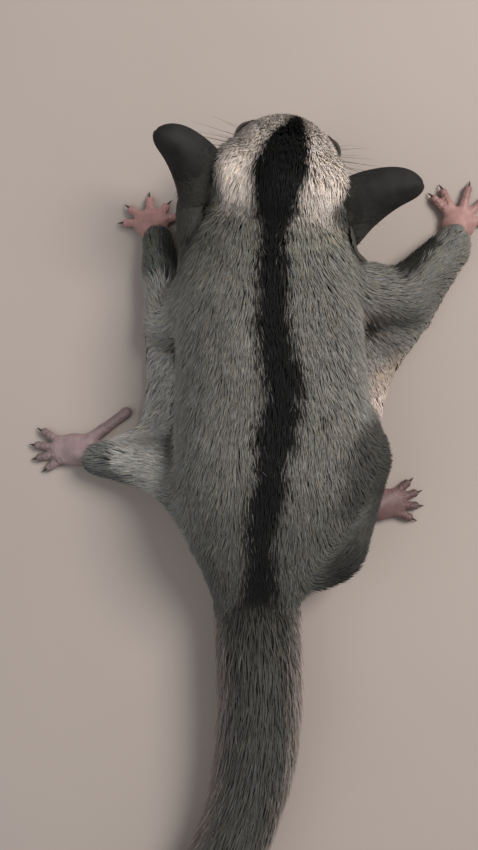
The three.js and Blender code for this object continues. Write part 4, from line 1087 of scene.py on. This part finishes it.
# by form: tufts to the square mm, and length of the hair before it shortens along the head and limbs
DENSITY = [4.6, 9.0, 3.0, 4.6, 3.6, 3.6, 3.6, 3.6, 3.2, 3.2]
HAIR = [6.2, 4.4, 6.0, 6.2, 6.8, 6.8, 6.8, 6.8, 4.2, 4.2]
BARE_NOSE = ([0, 21.7, -2.4], [2.7, 2.2, 2.3])
ROOT_DEPTH = 0.25  # how far a tuft begins in the skin
FIRST_PART, LAST_PART = 0.45, 0.58  # of the hair's length, before and after the bend
STRAY = 0.05  # share of the tufts that stand out
LOCK, LOCK_PULL = 2.3, 0.34  # size of a small lock in mm, and how far its tips draw together
EYE_CLEAR, MOUTH_CLEAR = 0.75, 0.5  # bare rims round the eye and the mouth, mm
EAR_TUFTS, RUFF_TUFTS = ((2600, 1100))  # for each ear
MIDDLE_X = -1.2  # between the pieces of the left and the right
DARK_FUR = tone(40, 39, 37)


def lie(p, f):
    """The way the hair lies at points of the body."""
    w = shares(f, 3.0)
    q = in_head(p)
    ways = np.zeros((f.shape[1], len(p), 3))
    ways[TORSO_FORM] = [0, -1, -0.12]
    ways[HEAD_FORM] = unit(q - HAIR_FROM) @ HEAD_TURN.T
    ways[THROAT_FORM] = ways[RUFF_FORM] = [0, -1, -0.1]
    for k, name in enumerate(LIMBS, ARM_L):
        a, b, c = LIMBS[name][0]
        t = smooth(limb_progress(p, name), 0.7, 1.3)[:, None]
        ways[k] = unit((1 - t) * unit(b - a) + t * unit(c - b))
    ways[WING_L] = [-0.45, -0.85, -0.1]
    ways[WING_R] = [0.45, -0.85, -0.1]
    # round the eyes it lies away from them
    off = q - EYE * np.sign(q[:, :1]) ** [1, 0, 0]
    push = 1.3 * (1 - smooth(length(off), EYE_RADIUS, EYE_RADIUS + 4.5))
    return np.einsum("nk,knc->nc", w, ways) + (w[:, HEAD_FORM] * push)[:, None] * (unit(off) @ HEAD_TURN.T)


def tangent(way, normal):
    return unit(way - dot(way, normal)[:, None] * normal)


def turned(way, normal, angle):
    return way * np.cos(angle)[:, None] + np.cross(normal, way) * np.sin(angle)[:, None]


def unwrap_ends(name):
    """Ends of the line that a piece of the coat is unwrapped round."""
    if name.startswith("torso"):
        return array([-1.5, 64, 20.0]), array([-4.0, -56, 14.0])
    if name.startswith("head"):
        return from_head([0, 22, -3]), from_head([0, -18, 0])
    if name in LIMBS:
        return LIMBS[name][0][0], LIMBS[name][0][2]
    out = (-35, -30) if name == "wing_left" else (40, 30)
    return array([out[0], 50, 6]), array([out[1], -12, 6])


def cylinder_map(p, start, end):
    """Unwrap round an axis: the turn about it from straight down and the way along it, from 0 to 1."""
    axis = unit(end - start)
    one = unit([0, 0, -1.0] + axis * axis[2])
    off = p - start
    turn = np.arctan2(off @ np.cross(axis, one), off @ one) / (2 * math.pi) + 0.5
    return np.stack([turn, (off @ axis) / np.linalg.norm(end - start)], 1)


def ear_side(p, ear):
    """Which side of an ear's middle surface points lie on, 0 where they are off its sheet."""
    root, axis, span, ahead, back = ear
    off = p - root
    s, across = (off @ axis) / span, off @ ahead
    taper, front, rear = ear_outline(np.clip(s, 0, 1), 1e-4)
    share = (across - rear) / (front - rear)
    height = EAR_CUP * taper * (1 - (2 * np.clip(share, 0, 1) - 1) ** 2) - EAR_CUP / 2
    on_sheet = (s > 0.02) & (s < 1.05) & (share > -0.05) & (share < 1.05)
    return np.where(on_sheet, np.sign(off @ back - height), 0)


# Roots of the coat over the skin
tri = np.concatenate([skin_faces[0][:, :3], skin_faces[0][:, [0, 2, 3]]])
corner = skin_points[tri]
area = 0.5 * length(np.cross(corner[:, 1] - corner[:, 0], corner[:, 2] - corner[:, 0]))
mid = corner.mean(1)
mid_share = shares(forms(mid))
want = mid_share @ DENSITY + mid_share[:, HEAD_FORM] * FACE_DENSITY * smooth(in_head(mid)[:, 1], 4, 14)
want *= (0.3 + 0.7 * smooth(mid[:, 2], 3, 10)) * area
TUFTS = int(want.sum() * (1))
chosen = np.sort(rng.choice(len(tri), TUFTS, p=want / want.sum()))
r1, r2 = np.sqrt(rng.random(TUFTS)), rng.random(TUFTS)
spread = np.stack([1 - r1, r1 * (1 - r2), r1 * r2], 1)[:, :, None]
roots = (corner[chosen] * spread).sum(1)
root_forms = forms(roots)
root_share = shares(root_forms)
root_head = in_head(roots)
normal = unit(gradient(coat, roots))
depth = depth_of(roots, root_forms)

# bare places: eyes, nose, mouth
eye_gap = gap_to_eye(root_head)
mouth = np.full(TUFTS, 99.0)
line = on_face(smooth_path(MOUTH, 16), -0.4)
for a, b in zip(line, line[1:]):
    mouth = np.minimum(mouth, rod(folded(root_head), a, b, 0, 0))
keep = (eye_gap > EYE_CLEAR) & (mouth > MOUTH_CLEAR) & (ellipsoid(root_head, *BARE_NOSE) > 0)
keep &= roots[:, 2] > 0.3

hair = root_share @ HAIR
shorter = 2.1 * smooth(root_head[:, 1], -14, 4) + 0.9 * smooth(root_head[:, 1], 6, 18)
hair -= root_share[:, HEAD_FORM] * shorter
for k, name in enumerate(LIMBS, ARM_L):
    hair -= root_share[:, k] * 1.9 * limb_progress(roots, name)
hair *= rng.uniform(0.8, 1.2, TUFTS) * (1 + 0.12 * noise(roots, 4, 21))
hair *= 0.4 + 0.6 * smooth(eye_gap, 0.5, 5)
width = (0.14 + 0.045 * hair) * rng.uniform(0.75, 1.3, TUFTS)

swirl = 0.25 * rng.normal(0, 1, TUFTS) + 0.36 * noise(roots, 3.2, 31) + 0.24 * noise(roots, 1.3, 32)
swirl *= 0.35 + 0.65 * (1 - root_share[:, HEAD_FORM])
way = turned(tangent(lie(roots, root_forms), normal), normal, swirl)

first = roots - normal * ROOT_DEPTH
lift = rng.uniform(-0.5, 0.12, TUFTS)
middle = onto(coat, roots + scaled(way, FIRST_PART * hair), -0.42 * depth, turns=1)
reach = np.maximum(length(middle - roots), 1e-6)
middle = roots + scaled(middle - roots, np.minimum(1, 0.6 * hair / reach))
mid_normal = unit(gradient(coat, middle))
way = turned(tangent(lie(middle, forms(middle)), mid_normal), mid_normal, swirl * 0.8)
level = np.where(rng.random(TUFTS) < STRAY, 0.35, 0) + lift * np.minimum(depth, 2.5) * 0.5
tips = onto(coat, middle + scaled(way, LAST_PART * hair), level, turns=1)

# draw tips together into small locks
clump = np.floor(roots / LOCK + 0.35 * noise(roots, 2.0, 44)[:, None]).astype(int)
_, group = np.unique(clump @ [100003, 1009, 1], return_inverse=True)
size = np.bincount(group)
gather = np.stack([np.bincount(group, tips[:, c]) / size for c in range(3)], 1)[group]
pull = LOCK_PULL * (1 - 0.6 * root_share[:, HEAD_FORM]) * (size[group] > 2)
tips = onto(coat, tips + scaled(gather - tips, pull), level, turns=1)

for points in (first, middle, tips):
    lift_to(points, STATION_LOW)
for ear in EARS.values():
    keep &= ear_side(roots, ear) * ear_side(tips, ear) >= 0
tip_head = in_head(tips)
keep &= (gap_to_eye(tip_head) > 0.35) & (ellipsoid(tip_head, *BARE_NOSE) > -0.1)
low_cad, high_cad = array(cad_low) / MM, array(cad_high) / MM
keep &= (tips > low_cad - 1).all(1) & (tips < high_cad + 1).all(1)

jitter = roots + rng.normal(0, 0.5, (TUFTS, 3))
tint = markings(jitter, forms(jitter), normal)
tint *= (1 + 0.10 * noise(roots, 7, 51) + 0.10 * noise(roots, 2.4, 52))[:, None]

# which piece each tuft belongs to
side = np.where(roots[:, 0] < MIDDLE_X, "left", "right")
trunk = root_forms[:, [TORSO_FORM, THROAT_FORM, RUFF_FORM]].min(1)
region = np.argmin(np.column_stack([trunk, root_forms[:, HEAD_FORM], root_forms[:, ARM_L:]]), 1)
region_name = np.array(["torso", "head", *LIMBS, "wing_left", "wing_right"])[region]
rows = np.digitize(roots[:, 1], [-12, 24]).astype(str)
label = np.where(region == 0, np.char.add(np.char.add("torso", rows), side),
                 np.where(region == 1, np.char.add("head_", side), region_name))
for k, name in enumerate(sorted(set(label))):
    pick = (label == name) & keep
    coat_piece(name, [first[pick], middle[pick], tips[pick]], normal[pick], width[pick],
               cylinder_map(roots[pick], *unwrap_ends(name)), tint[pick], 100 + k,
               lean=HEAD_LEAN if name.startswith("head") else LEAN)

for name, ear in EARS.items():
    # short dark fur over the root of the ear's back
    root, axis, span, ahead, back = ear
    n = EAR_TUFTS
    s = -0.1 + 0.52 * rng.random(n) ** 2.4
    v = rng.uniform(0.03, 0.97, n)
    base, roll = ear_point(ear, s, v)
    base += outer(EAR_THICK * (0.3 - 0.2 * roll), back)
    hair = rng.uniform(1.8, 3.4, n) * (1 - 0.5 * smooth(s, 0.1, 0.5))
    aside = 0.25 * rng.normal(0, 1, (n, 1)) * ahead * hair[:, None]
    over = ear_point(ear, s + 0.5 * hair / span, v)[0] + 0.35 * back
    end = ear_point(ear, s + hair / span, v)[0] + outer(rng.uniform(0.15, 0.45, n), back) + aside
    width = rng.uniform(0.16, 0.28, n)
    shade = mix(EAR_BASE, DARK_FUR, smooth(s, 0.05, 0.35)) * (1 + 0.12 * noise(base, 2.5, 91))[:, None]
    coat_piece(name, [base, over, end], back, width, np.column_stack([v, s]), shade, 300)

    # longer dark hair from the rear edge of the ear back over the neck
    n = RUFF_TUFTS
    far = 1.0 if name == "ear_left" else 0.5
    s, v = rng.uniform(-0.14, 0.16, n), rng.uniform(-0.1, 0.35, n)
    base = ear_point(ear, s, v)[0] - 0.6 * back
    base[:, 1] += rng.uniform(-4.0, 1.0, n) * far
    base = onto(coat, base, -0.8)
    facing = unit(gradient(coat, base))
    way = tangent(array([-0.1 * np.sign(root[0]), -1, -0.2]) + 0.22 * rng.normal(0, 1, (n, 3)), facing)
    hair = rng.uniform(4.5, 7.5, n) * (0.25 + 0.75 * far)
    over, end = (onto(coat, base + way * (share * hair)[:, None], 0.1, turns=2) for share in (0.5, 1))
    width = rng.uniform(0.3, 0.45, n)
    shade = EAR_BASE * rng.uniform(0.85, 1.25, (n, 1))
    coat_piece("ruff" + name[3:], [base, over, end], facing, width, np.column_stack([v, s]), shade, 500)

# ---------------------------------------------------------------- tail

# number of the station, x, y, height of the centre, share of the radius
TAIL_TABLE = np.column_stack(
    [np.arange(len(TAIL)), TAIL[:, :2], TAIL[:, 2] * TAIL_RADIUS - TAIL_SINK, TAIL[:, 2]])
CORE = 0.42  # radius of the flesh as a share of the coat's
CORE_RINGS, CORE_SIDES, CORE_END = 90, 28, 0.985
TAIL_STRAY = 0.04
TAIL_TAPER = (0.8, 1.0, 0.8)
TAIL_STEPS = ((0, 0.0), (0.34, 0.62), (0.7, 0.9), (1.0, 1.0))  # share of the hair, way out to its reach


def tail_line(t):
    """Centre, forward way and coat radius of the tail, for t from 0 at the root to 1 at the tip."""
    last = len(TAIL) - 1
    u = np.clip(t, 0, 1) * last
    *centre, share = curves(TAIL_TABLE, u)
    before, after = (np.stack(curves(TAIL_TABLE, np.clip(u + d, 0, last))[:3], 1) for d in (-0.05, 0.05))
    ahead = unit(after - before)
    centre = np.stack(centre, 1) + scaled(ahead, np.maximum(t - 1, 0) * TAIL_LENGTH)
    return centre, ahead, TAIL_RADIUS * share


def tail_place(t, turn, reach):
    """Places in the tail's coat and the ways out of it; past the tip they draw together."""
    centre, ahead, radius = tail_line(t)
    side = unit(np.cross([0, 0, 1.0], ahead))
    out = scaled(side, np.cos(turn)) + scaled(np.cross(ahead, side), np.sin(turn))
    squeeze = 1 / (1 + np.maximum(t - 1, 0) * TAIL_LENGTH / 14)
    return centre + scaled(out, radius * reach * squeeze), out


def tail_tint(p, t, turn):
    """Dark grey, warmer on the edges, darker on top of the root and black towards the tip."""
    return paint(tone(61, 60, 57), (tone(106, 98, 93), 0.9 * smooth(np.abs(np.cos(turn)), 0.55, 0.95)),
                 (tone(44, 43, 40), smooth(t, 0.13, 0.02) * smooth(np.sin(turn), 0.3, 0.8) * 0.9),
                 (tone(30, 29, 28), smooth(t + 0.03 * noise(p, 6, 61), 0.7, 0.92)))


t, turn = grid(np.linspace(0, CORE_END, CORE_RINGS), all_round(CORE_SIDES))
points = tail_place(t, turn, CORE * (1 - 0.5 * smooth(t, 0.85, 0.99)))[0]
points = np.concatenate([points, tail_line(array([0, CORE_END]))[0]])
lift_to(points, 0.3)
core_tint = tail_tint(points, np.append(t, [0, 1]), np.append(turn, [0, 0])) * 0.5
piece("tail_core", points, facing_out(points, ring_faces(CORE_RINGS, CORE_SIDES)), HIDE, "grey_fur",
      ["tail_base", "tail_middle", "tail_tip"], colour=core_tint)

TAIL_TUFTS = 27000
t = rng.random(TAIL_TUFTS) ** 0.95 - 0.03
turn = rng.random(TAIL_TUFTS) * 2 * math.pi
hair = rng.uniform(14, 21, TAIL_TUFTS)
hair *= (1 - 0.25 * smooth(t, 0.8, 1.0)) * (0.62 + 0.38 * smooth(t, 0.0, 0.12))
reach = rng.uniform(0.84, 1.0, TAIL_TUFTS) ** 0.7
reach = np.where(rng.random(TAIL_TUFTS) < TAIL_STRAY, 1.04, reach)
round_tail = np.column_stack([t * TAIL_LENGTH, 12 * np.cos(turn), 12 * np.sin(turn)])
sway = 0.16 * rng.normal(0, 1, TAIL_TUFTS) + 0.14 * noise(round_tail, 8, 71)
start = CORE * 0.92
path = []
for step, share in TAIL_STEPS:
    place, out = tail_place(t + step * hair / TAIL_LENGTH, turn + sway * step,
                            start + (reach - start) * share)
    lift_to(place, STATION_LOW)
    path.append(place)
    if step == 0:
        tail_out = out
path = np.stack(path)
inside = (path[-1] > low_cad - 1.5).all(1) & (path[-1] < high_cad + 1.5).all(1)
tint = tail_tint(path[0], t + 0.5 * hair / TAIL_LENGTH, turn) * (1 + 0.14 * noise(path[-1], 5, 81))[:, None]
width = rng.uniform(0.3, 0.55, TAIL_TUFTS)
third = np.minimum((np.clip(t, 0, 0.999) * 3).astype(int), 2)
for k in range(3):
    pick = (third == k) & inside
    coat_piece(f"tail{k}", path[:, pick], tail_out[pick], width[pick],
               np.column_stack([turn[pick] / (2 * math.pi), t[pick]]), tint[pick], 200 + k,
               thick=0.55, taper=TAIL_TAPER, light=0.08, spread=0.16)

# ---------------------------------------------------------------- sizes

low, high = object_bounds()
